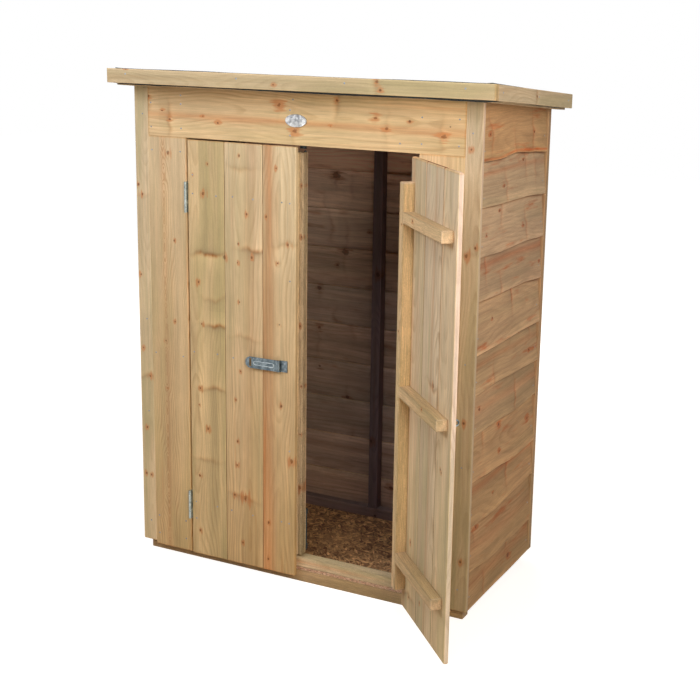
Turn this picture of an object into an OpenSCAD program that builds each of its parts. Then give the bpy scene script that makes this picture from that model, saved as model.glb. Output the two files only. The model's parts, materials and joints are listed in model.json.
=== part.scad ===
// Pent storage shed: a low timber store with a lean-to roof that falls to the
// back, a pair of ledged doors in front and overlap weatherboard on the other
// three sides. It stands on three bearers. The origin is on the ground, under
// the middle of the body; +X is to the right and the front faces -Y. The right
// door is drawn open, the left door closed with its hasp folded back.

/* [Body] */
// Width of the body over the corner strips
body_w = 980; // [900:5:1300]
// Depth of the body over the front boards and the back cladding
body_d = 470; // [380:5:700]
// Height of the front wall above the ground
front_h = 1317; // [1000:1:1700]
// Angle at which the roof falls to the back, in degrees
roof_angle = 5.15; // [3:0.05:9]
// Ground to the lower end of the front boards and doors
front_skirt = 20.5; // [10:0.5:30]
// Ground to the lower end of the corner strips and the cladding
side_skirt = 28.5; // [20:0.5:35]

/* [Timber] */
// Thickness of the front boards, door boards and corner strips
board_t = 12; // [10:0.5:16]
// Side of the square framing battens
batten = 28; // [24:1:36]
// Width of the corner posts, left to right
corner_post_w = 38; // [30:1:45]
// Width of the corner strips on the front
strip_w = 42.5; // [36:0.5:60]
// Height of the header board over the doors
header_h = 156; // [120:1:190]

/* [Floor] */
// Height of the bearers under the floor
bearer_h = 33; // [28:1:50]
// Width of each bearer, front to back
bearer_w = 34; // [28:1:50]
// Distance from a bearer's end to the side of the body
bearer_inset = 15; // [12:1:60]
// Thickness of the floor board
floor_t = 8; // [8:0.5:18]

/* [Cladding] */
// Thickness of one weatherboard
clad_t = 9; // [7:0.5:12]
// Height of each weatherboard that stays in view
course = 111.6; // [90:0.1:140]
// Height by which each weatherboard covers the one below
lap = 14; // [8:0.5:25]
// Gap between two lapped boards
lap_gap = 0.3; // [0.1:0.1:0.8]
// Width of the strips that close the back wall's corners
back_strip_w = 28; // [24:1:40]

/* [Roof] */
// Thickness of the roof deck
deck_t = 9; // [8:0.5:18]
// Thickness of the roofing felt
felt_t = 2; // [1:0.1:3]
// Height of the battens round the edge of the roof
edge_batten_h = 30; // [26:1:45]
// Width of the battens round the edge of the roof
edge_batten_w = 26; // [20:1:40]
// Height of the fascia boards
fascia_h = 36.5; // [30:0.5:60]
// Thickness of the fascia boards
fascia_t = 16; // [12:0.5:20]
// Distance by which a side fascia's top edge ends short of its lower edge
fascia_cut = 10; // [0:1:20]
// Gap between the wall's face and the roof's edge battens at the sides
side_overhang_gap = 3; // [2:0.5:20]
// Gap between the front boards and the roof's front batten
front_overhang_gap = 8; // [4:0.5:30]
// Distance by which the deck passes the back wall
back_overhang = 20; // [10:1:40]
// Height by which the felt shows below the fascias
felt_drop = 3; // [0:0.5:8]
// Height of the felt turned down over the back edge
back_felt_h = 26; // [15:1:45]

/* [Doors] */
// Width of the doorway between the middles of the two hinge gaps
doorway_w = 656; // [540:2:760]
// Running gap round each door and behind its boards
door_gap = 5; // [4.5:0.5:7]
// Shares of a door's width taken by its three boards, from the left
board_shares = [113, 116, 98];
// Gap between two neighbouring door boards
board_joint = 0.6; // [0.3:0.1:1]
// Length of the tongue on a door board's edge
tongue_len = 5; // [3:0.5:7]
// Thickness of the tongue on a door board's edge
tongue_t = 4; // [3:0.5:5]
// Distance by which the meeting stile passes the left door's edge
stile_lap = 11.5; // [8:0.5:14]
// Distance by which the right door's ledges stop short of its edge
ledge_stop = 22; // [19:1:40]
// Top of the hinge stiles below the top of the door
hinge_stile_drop = 58; // [20:1:90]
// Top of the meeting stile below the top of the door
meeting_stile_drop = 14; // [8:1:40]
// Height of the top ledge's middle below the top of the door
top_ledge_drop = 140; // [90:1:200]
// Height of the bottom ledge's middle above the ground
bottom_ledge_z = 162; // [120:1:220]
// Angle at which the right door stands open
right_open = 133; // [0:1:165]

/* [Hinges] */
// Length of a butt hinge
hinge_len = 80; // [60:5:90]
// Diameter of the hinge knuckles
knuckle_d = 8; // [7:0.5:9]
// Diameter of the hinge pins
pin_d = 4.8; // [3.5:0.1:5]
// Radial clearance of a knuckle on its pin
pin_fit = 0.08; // [0.03:0.01:0.1]
// Gap between neighbouring knuckles
knuckle_gap = 0.4; // [0.2:0.1:0.8]
// Thickness of a hinge leaf
leaf_t = 1.5; // [1:0.1:2]
// Depth of a hinge leaf, front to back
leaf_depth = 28; // [20:1:34]

/* [Hasp] */
// Height of the hasp and staple above the ground
hasp_z = 592; // [450:1:750]
// Height of the hasp strap
hasp_h = 30; // [24:1:40]
// Length of the strap from its pin to its round end
hasp_len = 100; // [90:1:130]
// Distance of the hasp's pin from the left door's edge
hasp_pin_in = 45.5; // [40:0.5:60]
// Thickness of the strap
hasp_t = 2; // [1.5:0.1:3]
// Width of the slot in the strap
slot_w = 7; // [6:0.5:9]
// Height of the slot in the strap
slot_h = 22; // [18:0.5:24]
// Diameter of the staple's wire
staple_d = 4; // [3:0.5:5]
// Height of the staple's loop between the middles of its legs
staple_h = 14; // [12:0.5:16]
// Distance by which the staple stands out from the door
staple_out = 20; // [16:0.5:26]

/* [Bolts] */
// Diameter of the bolts
bolt_d = 8; // [6:0.5:10]
// Travel of the bolts
bolt_travel = 40; // [38:0.5:44]
// Length of a bolt's back plate
bolt_plate_len = 110; // [100:1:150]
// Width of a bolt's back plate
bolt_plate_w = 16; // [14:1:28]
// Distance by which the bottom bolt stands to the right of the top one
bottom_bolt_shift = 7; // [0:0.5:8]

/* [Hidden] */
$fn = 48;

// Colours of the timber, the metal and the felt
pale = "burlywood";
tan_wood = "tan";
brown = "peru";
zinc = "lightsteelblue";
felt_colour = "dimgray";

// Planes and levels that the whole body shares
half_w = body_w / 2;
front_y = -body_d / 2;
back_y = body_d / 2;
floor_z = bearer_h + floor_t;
frame_y = front_y + board_t;
rail_y = frame_y + door_gap;
sill_top = floor_z + batten;
roof_slope = tan(roof_angle);

// Pieces that bear on each other along the roof's slope stay this far apart
seat = 0.05;

// Weatherboards lean by this much between their lower and upper edges
board_h = course + lap;
lean = (clad_t + lap_gap) * board_h / course;
clad_depth = lean + clad_t;
wall_in = half_w - clad_depth;
wall_in_y = back_y - clad_depth;

// Header and doors
header_z = front_h - header_h;
door_top = header_z - door_gap;
joint_x = doorway_w / 2;
jamb_x = joint_x + door_gap / 2;
hinge_edge = joint_x - door_gap / 2;
free_edge = door_gap / 2;
door_w = hinge_edge - free_edge;
top_ledge_z = door_top - top_ledge_drop;
ledge_levels = [bottom_ledge_z, hasp_z, top_ledge_z];
stile_bottom = sill_top + door_gap;

// Door boards: the tongue's play in its groove, and the V along each joint
tongue_play = 0.3;
v_cut = 1;

// Hinges: the pin stands in front of the face, just outside the gap
knuckle_clear = 0.5;
pin_out = knuckle_d / 2 + knuckle_clear;
pin_beyond_joint = 2;
pin_x = joint_x + pin_beyond_joint;
pin_y = front_y - pin_out;
hinge_below_ledge = [2, 8];
hinge_levels = [bottom_ledge_z, top_ledge_z] - hinge_below_ledge;
knuckles = 5;

// Hasp: the strap lies clear of the boards, level with its pin
hasp_knuckle_d = 7;
hasp_pin_d = 3;
hasp_pin_y = front_y - door_gap - hasp_t / 2 - knuckle_clear;
hasp_pin_x = -free_edge - hasp_pin_in;
slot_from_pin = hasp_len - hasp_h / 2;
staple_x = hasp_pin_x + slot_from_pin;
staple_plate = 2;

// Bolts stand behind the sill, so that the bottom one drops into the floor board
bolt_clear = 2;
bolt_x = -free_edge + stile_lap - batten / 2;
bolt_y = rail_y + batten + bolt_d / 2 + bolt_clear;
bolt_plate_t = 1.5;
bolt_lug = 12;
lug_wall = 2.5;
bolt_lug_w = bolt_d + 2 * lug_wall;
keeper_hole_d = bolt_d + 2;
floor_hole_d = bolt_d + 5;
bolt_end = 7;
stile_back = frame_y + batten;
meeting_top = door_top - meeting_stile_drop;

// Height of the deck's lower face at a distance front to back
function roof_z(y) = front_h - roof_slope * (y - front_y);
// Running total of the first n entries of a list
function running(list, n) = n == 0 ? 0 : list[n - 1] + running(list, n - 1);

// A box between two corners
module box(low, high) {
    translate(low) cube(high - low);
}

// A slab between two planes that follow the roof, from y0 to y1
module sloped(x0, x1, y0, y1, below, above) {
    translate([x0, 0, 0]) rotate([90, 0, 90]) linear_extrude(x1 - x0)
        polygon([[y0, roof_z(y0) + below], [y1, roof_z(y1) + below],
            [y1, roof_z(y1) + above], [y0, roof_z(y0) + above]]);
}

// Everything of the children that lies under the roof, less a margin
module under_roof(margin = seat) {
    intersection() {
        children();
        translate([-body_w, 0, 0]) rotate([90, 0, 90]) linear_extrude(2 * body_w)
            polygon([[-body_d, 0], [body_d, 0],
                [body_d, roof_z(body_d) - margin],
                [-body_d, roof_z(-body_d) - margin]]);
    }
}

// Puts the children on both sides of the middle
module both_sides() {
    children();
    mirror([1, 0, 0]) children();
}

// Turns what is drawn as a closed right door to the angle it stands at
module on_right_door() {
    translate([pin_x, pin_y, 0]) rotate([0, 0, right_open])
        translate([-pin_x, -pin_y, 0]) children();
}

// ---- floor ----

module floor_bearers() {
    rows = [rail_y, -bearer_w / 2, wall_in_y - bearer_w];
    color(tan_wood) for (y = rows)
        box([-half_w + bearer_inset, y, 0],
            [half_w - bearer_inset, y + bearer_w, bearer_h]);
}

module floor_board() {
    color(brown) difference() {
        box([-wall_in, rail_y, bearer_h], [wall_in, wall_in_y, floor_z]);
        translate([bolt_x + bottom_bolt_shift, bolt_y, 0])
            cylinder(d = floor_hole_d, h = 2 * floor_z);
    }
}

// ---- framing ----

module sill_rail() {
    color(pale) box([-wall_in + corner_post_w, rail_y, floor_z],
        [wall_in - corner_post_w, rail_y + batten, sill_top]);
}

module header_rail() {
    color(tan_wood) box([-jamb_x, frame_y, header_z],
        [jamb_x, frame_y + batten, header_z + batten]);
}

module front_top_rail() {
    end = wall_in - corner_post_w;
    color(tan_wood) sloped(-end, end, frame_y, frame_y + batten, -batten, -seat);
}

module corner_post(y) {
    under_roof() both_sides()
        box([wall_in - corner_post_w, y, floor_z], [wall_in, y + batten, front_h]);
}

module front_corner_posts() {
    color(tan_wood) corner_post(frame_y);
}

module back_corner_posts() {
    color(tan_wood) corner_post(wall_in_y - batten);
}

module door_posts() {
    color(tan_wood) under_roof(batten + seat) both_sides()
        box([jamb_x, frame_y, sill_top], [jamb_x + batten, frame_y + batten, front_h]);
}

module back_wall_rails() {
    end = wall_in - corner_post_w;
    color(brown) {
        box([-end, wall_in_y - batten, floor_z], [end, wall_in_y, sill_top]);
        sloped(-end, end, wall_in_y - batten, wall_in_y, -batten, -seat);
    }
}

module back_wall_stud() {
    stud_x = 2;
    color(brown) under_roof(batten + seat)
        box([stud_x, wall_in_y - batten, sill_top], [stud_x + batten, wall_in_y, front_h]);
}

module side_wall_rails() {
    y0 = frame_y + batten;
    y1 = wall_in_y - batten;
    box([wall_in - batten, y0, floor_z], [wall_in, y1, sill_top]);
    sloped(wall_in - batten, wall_in, y0, y1, -batten, -seat);
}

module right_wall_rails() {
    color(brown) side_wall_rails();
}

module left_wall_rails() {
    color(brown) mirror([1, 0, 0]) side_wall_rails();
}

// ---- cladding ----

// Section of one weatherboard: it leans in from its lower edge up to where it
// meets the frame, and stands upright from there
module weatherboard(lean_h, upright_h = 0) {
    top_lean = lean * min(1, lean_h / board_h);
    inner = lean - top_lean;
    outer = clad_depth - top_lean;
    upright = upright_h > 0
        ? [[outer, lean_h + upright_h], [inner, lean_h + upright_h]] : [];
    polygon(concat([[lean, 0], [clad_depth, 0], [outer, lean_h]], upright,
        [[inner, lean_h]]));
}

// A wall of lapped boards, with its inner plane at x = 0 and its length along
// +Y; a rest under the least share of a course makes the highest board taller
module weatherboards(length, low_h, high_h) {
    least_share = 0.8;
    courses = max(1, floor((low_h - side_skirt) / course + 1 - least_share));
    top_z = side_skirt + (courses - 1) * course;
    rotate([90, 0, 0]) mirror([0, 0, 1]) linear_extrude(length) {
        for (i = [0:1:courses - 2])
            translate([0, side_skirt + i * course]) weatherboard(board_h);
        translate([0, top_z]) weatherboard(low_h - top_z, high_h - low_h);
    }
}

module side_cladding() {
    under_roof() translate([wall_in, frame_y, 0])
        weatherboards(wall_in_y - frame_y, roof_z(wall_in_y), front_h);
}

module right_wall_cladding() {
    color(brown) side_cladding();
}

module left_wall_cladding() {
    color(brown) mirror([1, 0, 0]) side_cladding();
}

module back_wall_cladding() {
    end = half_w - back_strip_w;
    color(brown) under_roof() translate([end, wall_in_y, 0]) rotate([0, 0, 90])
        weatherboards(2 * end, roof_z(back_y), roof_z(wall_in_y) + batten);
}

// Upright strips at the back corners, which the back boards butt against
module back_corner_strips() {
    color(brown) under_roof() both_sides()
        box([half_w - back_strip_w, wall_in_y, side_skirt], [half_w, back_y, front_h]);
}

// ---- front ----

module front_board() {
    under_roof() box([jamb_x, front_y, front_skirt],
        [half_w - strip_w, frame_y, header_z]);
}

module right_front_board() {
    color(pale) front_board();
}

module left_front_board() {
    color(pale) mirror([1, 0, 0]) front_board();
}

module header_board() {
    end = half_w - strip_w;
    color(pale) under_roof()
        box([-end, front_y, header_z], [end, frame_y, front_h + batten]);
}

module corner_strip() {
    under_roof() box([half_w - strip_w, front_y, side_skirt],
        [half_w, frame_y, front_h + batten]);
}

module right_corner_strip() {
    color(pale) corner_strip();
}

module left_corner_strip() {
    color(pale) mirror([1, 0, 0]) corner_strip();
}

// Plain oval plate with a raised rim
module badge_plate() {
    badge_w = 60;
    badge_h = 32;
    badge_x = -3;
    above_header = 60;
    rim = 2.5;
    plate_t = 1.6;
    rim_t = 2.6;
    steps = 48;
    color("silver") translate([badge_x, front_y, header_z + above_header]) rotate([90, 0, 0]) {
        linear_extrude(plate_t) oval(badge_w, badge_h, steps);
        linear_extrude(rim_t) difference() {
            oval(badge_w, badge_h, steps);
            oval(badge_w - 2 * rim, badge_h - 2 * rim, steps);
        }
    }
}

module oval(width, height, steps) {
    polygon([for (i = [0:steps - 1])
        [width / 2 * cos(360 * i / steps), height / 2 * sin(360 * i / steps)]]);
}

// ---- roof ----

// Outer faces of the edge battens, which the felt covers
batten_out_x = half_w + side_overhang_gap + edge_batten_w;
batten_out_y = front_y - front_overhang_gap - edge_batten_w;
roof_back_y = back_y + back_overhang;
fascia_in_x = batten_out_x + felt_t;
fascia_in_y = batten_out_y - felt_t;
fascia_top = deck_t + felt_t;

module roof_deck() {
    color(brown) sloped(-batten_out_x, batten_out_x, batten_out_y, roof_back_y, 0, deck_t);
}

module roof_battens() {
    butt = 0.5;
    inner_y = batten_out_y + edge_batten_w;
    color(tan_wood) {
        sloped(-batten_out_x, batten_out_x, batten_out_y, inner_y,
            -edge_batten_h, -seat);
        both_sides() sloped(batten_out_x - edge_batten_w, batten_out_x,
            inner_y + butt, roof_back_y, -edge_batten_h, -seat);
    }
}

module roof_felt() {
    low = fascia_top - fascia_h - felt_drop;
    color(felt_colour) {
        sloped(-fascia_in_x, fascia_in_x, fascia_in_y, roof_back_y + felt_t,
            deck_t + seat, fascia_top);
        sloped(-fascia_in_x, fascia_in_x, fascia_in_y, batten_out_y, low, fascia_top);
        both_sides() sloped(batten_out_x, fascia_in_x, fascia_in_y,
            roof_back_y + felt_t, low, fascia_top);
        sloped(-fascia_in_x, fascia_in_x, roof_back_y, roof_back_y + felt_t,
            fascia_top - back_felt_h, fascia_top);
    }
}

module front_fascia() {
    end = fascia_in_x + fascia_t;
    color(pale) sloped(-end, end, fascia_in_y - fascia_t, fascia_in_y,
        fascia_top - fascia_h, fascia_top);
}

// Side fascia, with its back end cut on the slant
module side_fascia() {
    end_y = roof_back_y + felt_t;
    top_y = end_y - fascia_cut;
    low = fascia_top - fascia_h;
    translate([fascia_in_x, 0, 0]) rotate([90, 0, 90]) linear_extrude(fascia_t)
        polygon([[fascia_in_y, roof_z(fascia_in_y) + low], [end_y, roof_z(end_y) + low],
            [top_y, roof_z(top_y) + fascia_top],
            [fascia_in_y, roof_z(fascia_in_y) + fascia_top]]);
}

module right_fascia() {
    color(pale) side_fascia();
}

module left_fascia() {
    color(pale) mirror([1, 0, 0]) side_fascia();
}

// ---- butt hinges ----

knuckle_len = (hinge_len - (knuckles - 1) * knuckle_gap) / knuckles;

// Lower end of the knuckle with this number, above the hinge's lower end
function knuckle_z(i) = i * (knuckle_len + knuckle_gap);

// The leaf on the door post, with every other knuckle and the pin
module fixed_hinge() {
    leaf_x = jamb_x - leaf_t;
    box([leaf_x, front_y, 0], [jamb_x, front_y + leaf_depth, hinge_len]);
    for (i = [0:2:knuckles - 1]) translate([0, 0, knuckle_z(i)]) {
        box([leaf_x, pin_y, 0], [jamb_x, front_y + leaf_t, knuckle_len]);
        translate([pin_x, pin_y, 0]) cylinder(d = knuckle_d, h = knuckle_len);
    }
    translate([pin_x, pin_y, 0]) cylinder(d = pin_d, h = hinge_len);
}

// The leaf on the door's edge, with the knuckles between those of the post
module door_hinge() {
    root_w = pin_x - knuckle_d / 4 - hinge_edge;
    difference() {
        union() {
            box([hinge_edge, front_y, 0],
                [hinge_edge + leaf_t, front_y + leaf_depth, hinge_len]);
            for (i = [1:2:knuckles - 2]) translate([0, 0, knuckle_z(i)]) {
                box([hinge_edge, pin_y, 0],
                    [hinge_edge + root_w, front_y - knuckle_clear, knuckle_len]);
                box([hinge_edge, pin_y, 0],
                    [hinge_edge + leaf_t, front_y + leaf_t, knuckle_len]);
                translate([pin_x, pin_y, 0]) cylinder(d = knuckle_d, h = knuckle_len);
            }
        }
        translate([pin_x, pin_y, -1])
            cylinder(d = pin_d + 2 * pin_fit, h = hinge_len + 2);
    }
}

module at_hinges() {
    for (z = hinge_levels) translate([0, 0, z - hinge_len / 2]) children();
}

module right_fixed_hinges() {
    color(zinc) at_hinges() fixed_hinge();
}

module left_fixed_hinges() {
    color(zinc) mirror([1, 0, 0]) at_hinges() fixed_hinge();
}

module right_door_hinges() {
    color(zinc) on_right_door() at_hinges() door_hinge();
}

module left_door_hinges() {
    color(zinc) mirror([1, 0, 0]) at_hinges() door_hinge();
}

// ---- doors ----

// Section of a tongued and grooved board between x0 and x1, in plan. The outer
// edges of a door's first and last boards are cut square.
module board_section(x0, x1, grooved, tongued) {
    mid = board_t / 2;
    groove = tongue_t / 2 + tongue_play;
    left = !grooved ? [[x0, board_t], [x0, 0]] : [[x0 + v_cut, board_t],
        [x0, board_t - v_cut], [x0, mid + groove], [x0 + tongue_len, mid + groove],
        [x0 + tongue_len, mid - groove], [x0, mid - groove], [x0, v_cut],
        [x0 + v_cut, 0]];
    right = !tongued ? [[x1, 0], [x1, board_t]] : [[x1 - v_cut, 0], [x1, v_cut],
        [x1, mid - tongue_t / 2], [x1 + tongue_len, mid - tongue_t / 2],
        [x1 + tongue_len, mid + tongue_t / 2], [x1, mid + tongue_t / 2],
        [x1, board_t - v_cut], [x1 - v_cut, board_t]];
    polygon(concat(left, right));
}

// Three upright boards from x = left, each tongued into the next
module door_boards(left) {
    total = running(board_shares, len(board_shares));
    last = len(board_shares) - 1;
    translate([left, front_y, front_skirt]) linear_extrude(door_top - front_skirt)
        for (i = [0:last]) {
            x0 = door_w * running(board_shares, i) / total;
            x1 = door_w * running(board_shares, i + 1) / total;
            board_section(x0 + (i > 0 ? board_joint / 2 : 0),
                x1 - (i < last ? board_joint / 2 : 0), i > 0, i < last);
        }
}

module hinge_stile() {
    box([hinge_edge - batten, frame_y, stile_bottom],
        [hinge_edge, frame_y + batten, door_top - hinge_stile_drop]);
}

module left_door_boards() {
    color(pale) door_boards(-hinge_edge);
}

module left_hinge_stile() {
    color(tan_wood) mirror([1, 0, 0]) hinge_stile();
}

// Stile that laps behind the right door; a rebate clears that door's boards
module meeting_stile() {
    spill = 1;
    right = -free_edge + stile_lap;
    color(tan_wood) difference() {
        box([right - batten, frame_y, stile_bottom],
            [right, frame_y + batten, meeting_top]);
        box([-free_edge, frame_y - spill, 0],
            [right + spill, frame_y + door_gap, front_h]);
    }
}

module ledges(x0, x1) {
    for (z = ledge_levels)
        box([x0, frame_y, z - batten / 2], [x1, frame_y + batten, z + batten / 2]);
}

module left_door_ledges() {
    color(tan_wood) ledges(-hinge_edge + batten, -free_edge + stile_lap - batten);
}

module right_door_boards() {
    color(pale) on_right_door() mirror([1, 0, 0]) door_boards(-hinge_edge);
}

module right_hinge_stile() {
    color(pale) on_right_door() hinge_stile();
}

module right_door_ledges() {
    color(pale) on_right_door() ledges(free_edge + ledge_stop, hinge_edge - batten);
}

// ---- hasp and staple ----

hasp_leaf_w = 23;
hasp_knuckle_share = 0.4;
hasp_knuckle = hasp_h * hasp_knuckle_share;
hasp_side_knuckle = (hasp_h - hasp_knuckle) / 2 - knuckle_gap;

module hasp_leaf() {
    leaf_end = hasp_pin_x + hasp_leaf_w;
    leaf_start = hasp_pin_x + hasp_knuckle_d / 2;
    color(zinc) translate([0, 0, hasp_z - hasp_h / 2]) {
        box([hasp_pin_x, front_y - hasp_t, 0], [leaf_end, front_y, hasp_h]);
        for (z = [0, hasp_h - hasp_side_knuckle]) translate([0, 0, z]) {
            box([hasp_pin_x, hasp_pin_y, 0], [leaf_start, front_y, hasp_side_knuckle]);
            translate([hasp_pin_x, hasp_pin_y, 0])
                cylinder(d = hasp_knuckle_d, h = hasp_side_knuckle);
        }
        translate([hasp_pin_x, hasp_pin_y, 0]) cylinder(d = hasp_pin_d, h = hasp_h);
    }
}

// The strap, folded back to the left, with a raised rib along its middle
module hasp_strap() {
    root_gap = 0.7;
    root = hasp_knuckle_d / 2 + root_gap;
    overlap = 1;
    rib_w = 10;
    rib_h = 1;
    rib_start = -slot_from_pin + 16;
    rib_end = -root - 14;
    color(zinc) translate([hasp_pin_x, hasp_pin_y, hasp_z]) difference() {
        union() {
            box([-slot_from_pin, -hasp_t / 2, -hasp_h / 2],
                [-root, hasp_t / 2, hasp_h / 2]);
            translate([-slot_from_pin, hasp_t / 2, 0]) rotate([90, 0, 0])
                cylinder(d = hasp_h, h = hasp_t);
            box([-root - overlap, -hasp_t / 2, -hasp_knuckle / 2],
                [0, hasp_t / 2, hasp_knuckle / 2]);
            translate([0, 0, -hasp_knuckle / 2])
                cylinder(d = hasp_knuckle_d, h = hasp_knuckle);
            box([rib_start, -hasp_t / 2 - rib_h, -rib_w / 2], [rib_end, 0, rib_w / 2]);
            for (x = [rib_start, rib_end]) translate([x, 0, 0]) rotate([90, 0, 0])
                cylinder(d = rib_w, h = hasp_t / 2 + rib_h);
        }
        translate([0, 0, -hasp_h])
            cylinder(d = hasp_pin_d + 2 * pin_fit, h = 2 * hasp_h);
        box([-slot_from_pin - slot_w / 2, -hasp_t, -slot_h / 2],
            [-slot_from_pin + slot_w / 2, hasp_t, slot_h / 2]);
    }
}

module hasp_staple() {
    plate_w = 20;
    plate_h = 38;
    leg_y = front_y - staple_plate / 2;
    bend_y = front_y - staple_out + staple_d / 2 + staple_h / 2;
    color(zinc) on_right_door() translate([staple_x, 0, hasp_z]) {
        box([-plate_w / 2, front_y - staple_plate, -plate_h / 2],
            [plate_w / 2, front_y, plate_h / 2]);
        for (z = [-staple_h / 2, staple_h / 2]) translate([0, leg_y, z])
            rotate([90, 0, 0]) cylinder(d = staple_d, h = leg_y - bend_y);
        translate([0, bend_y, 0]) rotate([0, -90, 0]) rotate([0, 0, 180])
            rotate_extrude(angle = 180)
                translate([staple_h / 2, 0]) circle(d = staple_d);
    }
}

// ---- tower bolts ----

bottom_bolt_z = stile_bottom + 1;
top_bolt_z = meeting_top + 2;

// A bore along the bolt's axis, which passes both ends of the given length
module bolt_bore(d, length) {
    spill = 1;
    translate([bolt_x, bolt_y, -spill]) cylinder(d = d, h = length + 2 * spill);
}

// Back plate with a bored lug at each end, from z = 0 to its length
module bolt_barrel() {
    difference() {
        union() {
            box([bolt_x - bolt_plate_w / 2, stile_back, 0],
                [bolt_x + bolt_plate_w / 2, stile_back + bolt_plate_t, bolt_plate_len]);
            for (z = [0, bolt_plate_len - bolt_lug]) {
                box([bolt_x - bolt_lug_w / 2, stile_back, z],
                    [bolt_x + bolt_lug_w / 2, bolt_y, z + bolt_lug]);
                translate([bolt_x, bolt_y, z]) cylinder(d = bolt_lug_w, h = bolt_lug);
            }
        }
        bolt_bore(bolt_d + 2 * pin_fit, bolt_plate_len);
    }
}

// A round bolt from z = 0, drawn back, with a domed end; its knob stands to the left
module bolt_rod() {
    stub = 2;
    neck_d = 5.6;
    neck_out = 16;
    neck_len = bolt_d / 2 + neck_out;
    knob_d = 10.4;
    knob_z = bolt_end + bolt_lug + bolt_travel + bolt_d;
    translate([bolt_x, bolt_y, 0]) {
        translate([0, 0, bolt_d / 2]) {
            sphere(d = bolt_d);
            cylinder(d = bolt_d, h = bolt_end + bolt_plate_len + stub - bolt_d / 2);
        }
        translate([0, 0, knob_z]) rotate([0, -90, 0]) {
            cylinder(d = neck_d, h = neck_len);
            translate([0, 0, neck_len]) sphere(d = knob_d);
        }
    }
}

// Puts what is drawn upwards from z = 0 at the door's foot, or hangs it from the top
module at_foot(z) {
    translate([bottom_bolt_shift, 0, z]) children();
}

module hanging(z) {
    translate([0, 0, z]) mirror([0, 0, 1]) children();
}

module bolt_barrels() {
    color(zinc) {
        at_foot(bottom_bolt_z + bolt_end) bolt_barrel();
        hanging(top_bolt_z - bolt_end) bolt_barrel();
    }
}

module bottom_bolt() {
    color(zinc) at_foot(bottom_bolt_z) bolt_rod();
}

module top_bolt() {
    color(zinc) hanging(top_bolt_z) bolt_rod();
}

// Keeper for the top bolt, on the back of the header rail
module bolt_keeper() {
    keeper_w = 18;
    inset = 2;
    wall = 2;
    low = meeting_top + door_gap + inset;
    high = header_z + batten - inset;
    ring_z = header_z + inset;
    ring_w = keeper_hole_d + 2 * wall;
    color(zinc) translate([0, 0, low]) difference() {
        union() {
            box([bolt_x - keeper_w / 2, stile_back, 0],
                [bolt_x + keeper_w / 2, stile_back + bolt_plate_t, high - low]);
            translate([0, 0, ring_z - low]) {
                box([bolt_x - ring_w / 2, stile_back, 0],
                    [bolt_x + ring_w / 2, bolt_y, bolt_lug]);
                translate([bolt_x, bolt_y, 0]) cylinder(d = ring_w, h = bolt_lug);
            }
        }
        bolt_bore(keeper_hole_d, high - low);
    }
}

floor_bearers();
floor_board();
sill_rail();
header_rail();
front_top_rail();
front_corner_posts();
back_corner_posts();
door_posts();
back_wall_rails();
back_wall_stud();
left_wall_rails();
right_wall_rails();
left_wall_cladding();
right_wall_cladding();
back_wall_cladding();
left_front_board();
right_front_board();
header_board();
left_corner_strip();
right_corner_strip();
back_corner_strips();
badge_plate();
roof_battens();
roof_deck();
roof_felt();
front_fascia();
left_fascia();
right_fascia();
left_fixed_hinges();
right_fixed_hinges();
bolt_keeper();
left_door_boards();
left_hinge_stile();
meeting_stile();
left_door_ledges();
left_door_hinges();
hasp_leaf();
bolt_barrels();
hasp_strap();
top_bolt();
bottom_bolt();
right_door_boards();
right_hinge_stile();
right_door_ledges();
right_door_hinges();
hasp_staple();
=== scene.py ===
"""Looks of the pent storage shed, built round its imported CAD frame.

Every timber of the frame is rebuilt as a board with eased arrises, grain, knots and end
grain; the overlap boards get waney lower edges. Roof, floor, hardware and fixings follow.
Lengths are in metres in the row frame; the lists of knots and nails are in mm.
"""

import json
import math
import random

import bpy
import numpy as np
from mathutils import Matrix, Vector
from mathutils.geometry import tessellate_polygon


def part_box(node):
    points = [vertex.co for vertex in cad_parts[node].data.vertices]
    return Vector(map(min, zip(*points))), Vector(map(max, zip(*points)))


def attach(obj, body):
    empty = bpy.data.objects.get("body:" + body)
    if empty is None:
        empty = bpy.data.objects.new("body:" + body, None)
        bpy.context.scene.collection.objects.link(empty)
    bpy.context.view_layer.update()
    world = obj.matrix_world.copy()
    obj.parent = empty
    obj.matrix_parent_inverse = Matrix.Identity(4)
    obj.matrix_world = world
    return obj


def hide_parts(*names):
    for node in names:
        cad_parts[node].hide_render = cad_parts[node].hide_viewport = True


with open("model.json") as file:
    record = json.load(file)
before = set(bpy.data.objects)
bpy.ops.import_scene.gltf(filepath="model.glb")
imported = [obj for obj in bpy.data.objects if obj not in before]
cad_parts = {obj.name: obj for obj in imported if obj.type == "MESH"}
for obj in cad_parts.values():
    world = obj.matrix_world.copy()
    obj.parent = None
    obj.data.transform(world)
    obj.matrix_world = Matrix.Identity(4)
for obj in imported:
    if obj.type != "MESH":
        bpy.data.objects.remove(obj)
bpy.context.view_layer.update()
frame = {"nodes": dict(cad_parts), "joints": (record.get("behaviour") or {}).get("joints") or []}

MM = 0.001
JOINTS = {j["name"]: j for j in frame["joints"]}

# Sizes that the CAD source sets and that a box alone does not give
ROOF_SLOPE = math.tan(math.radians(5.15))
FRONT_Y = -235 * MM
FRONT_H = 1317 * MM
CLAD_T = 9 * MM
COURSE = 111.6 * MM
LAP = 14 * MM
SIDE_SKIRT = 28.5 * MM
LEAN = 10.47 * MM
TONGUE = 5 * MM
DECK_T = 9 * MM
FELT_T = 2 * MM
PLATE_T = 1.5 * MM  # of the bolts' plates and the hinges' leaves

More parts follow.
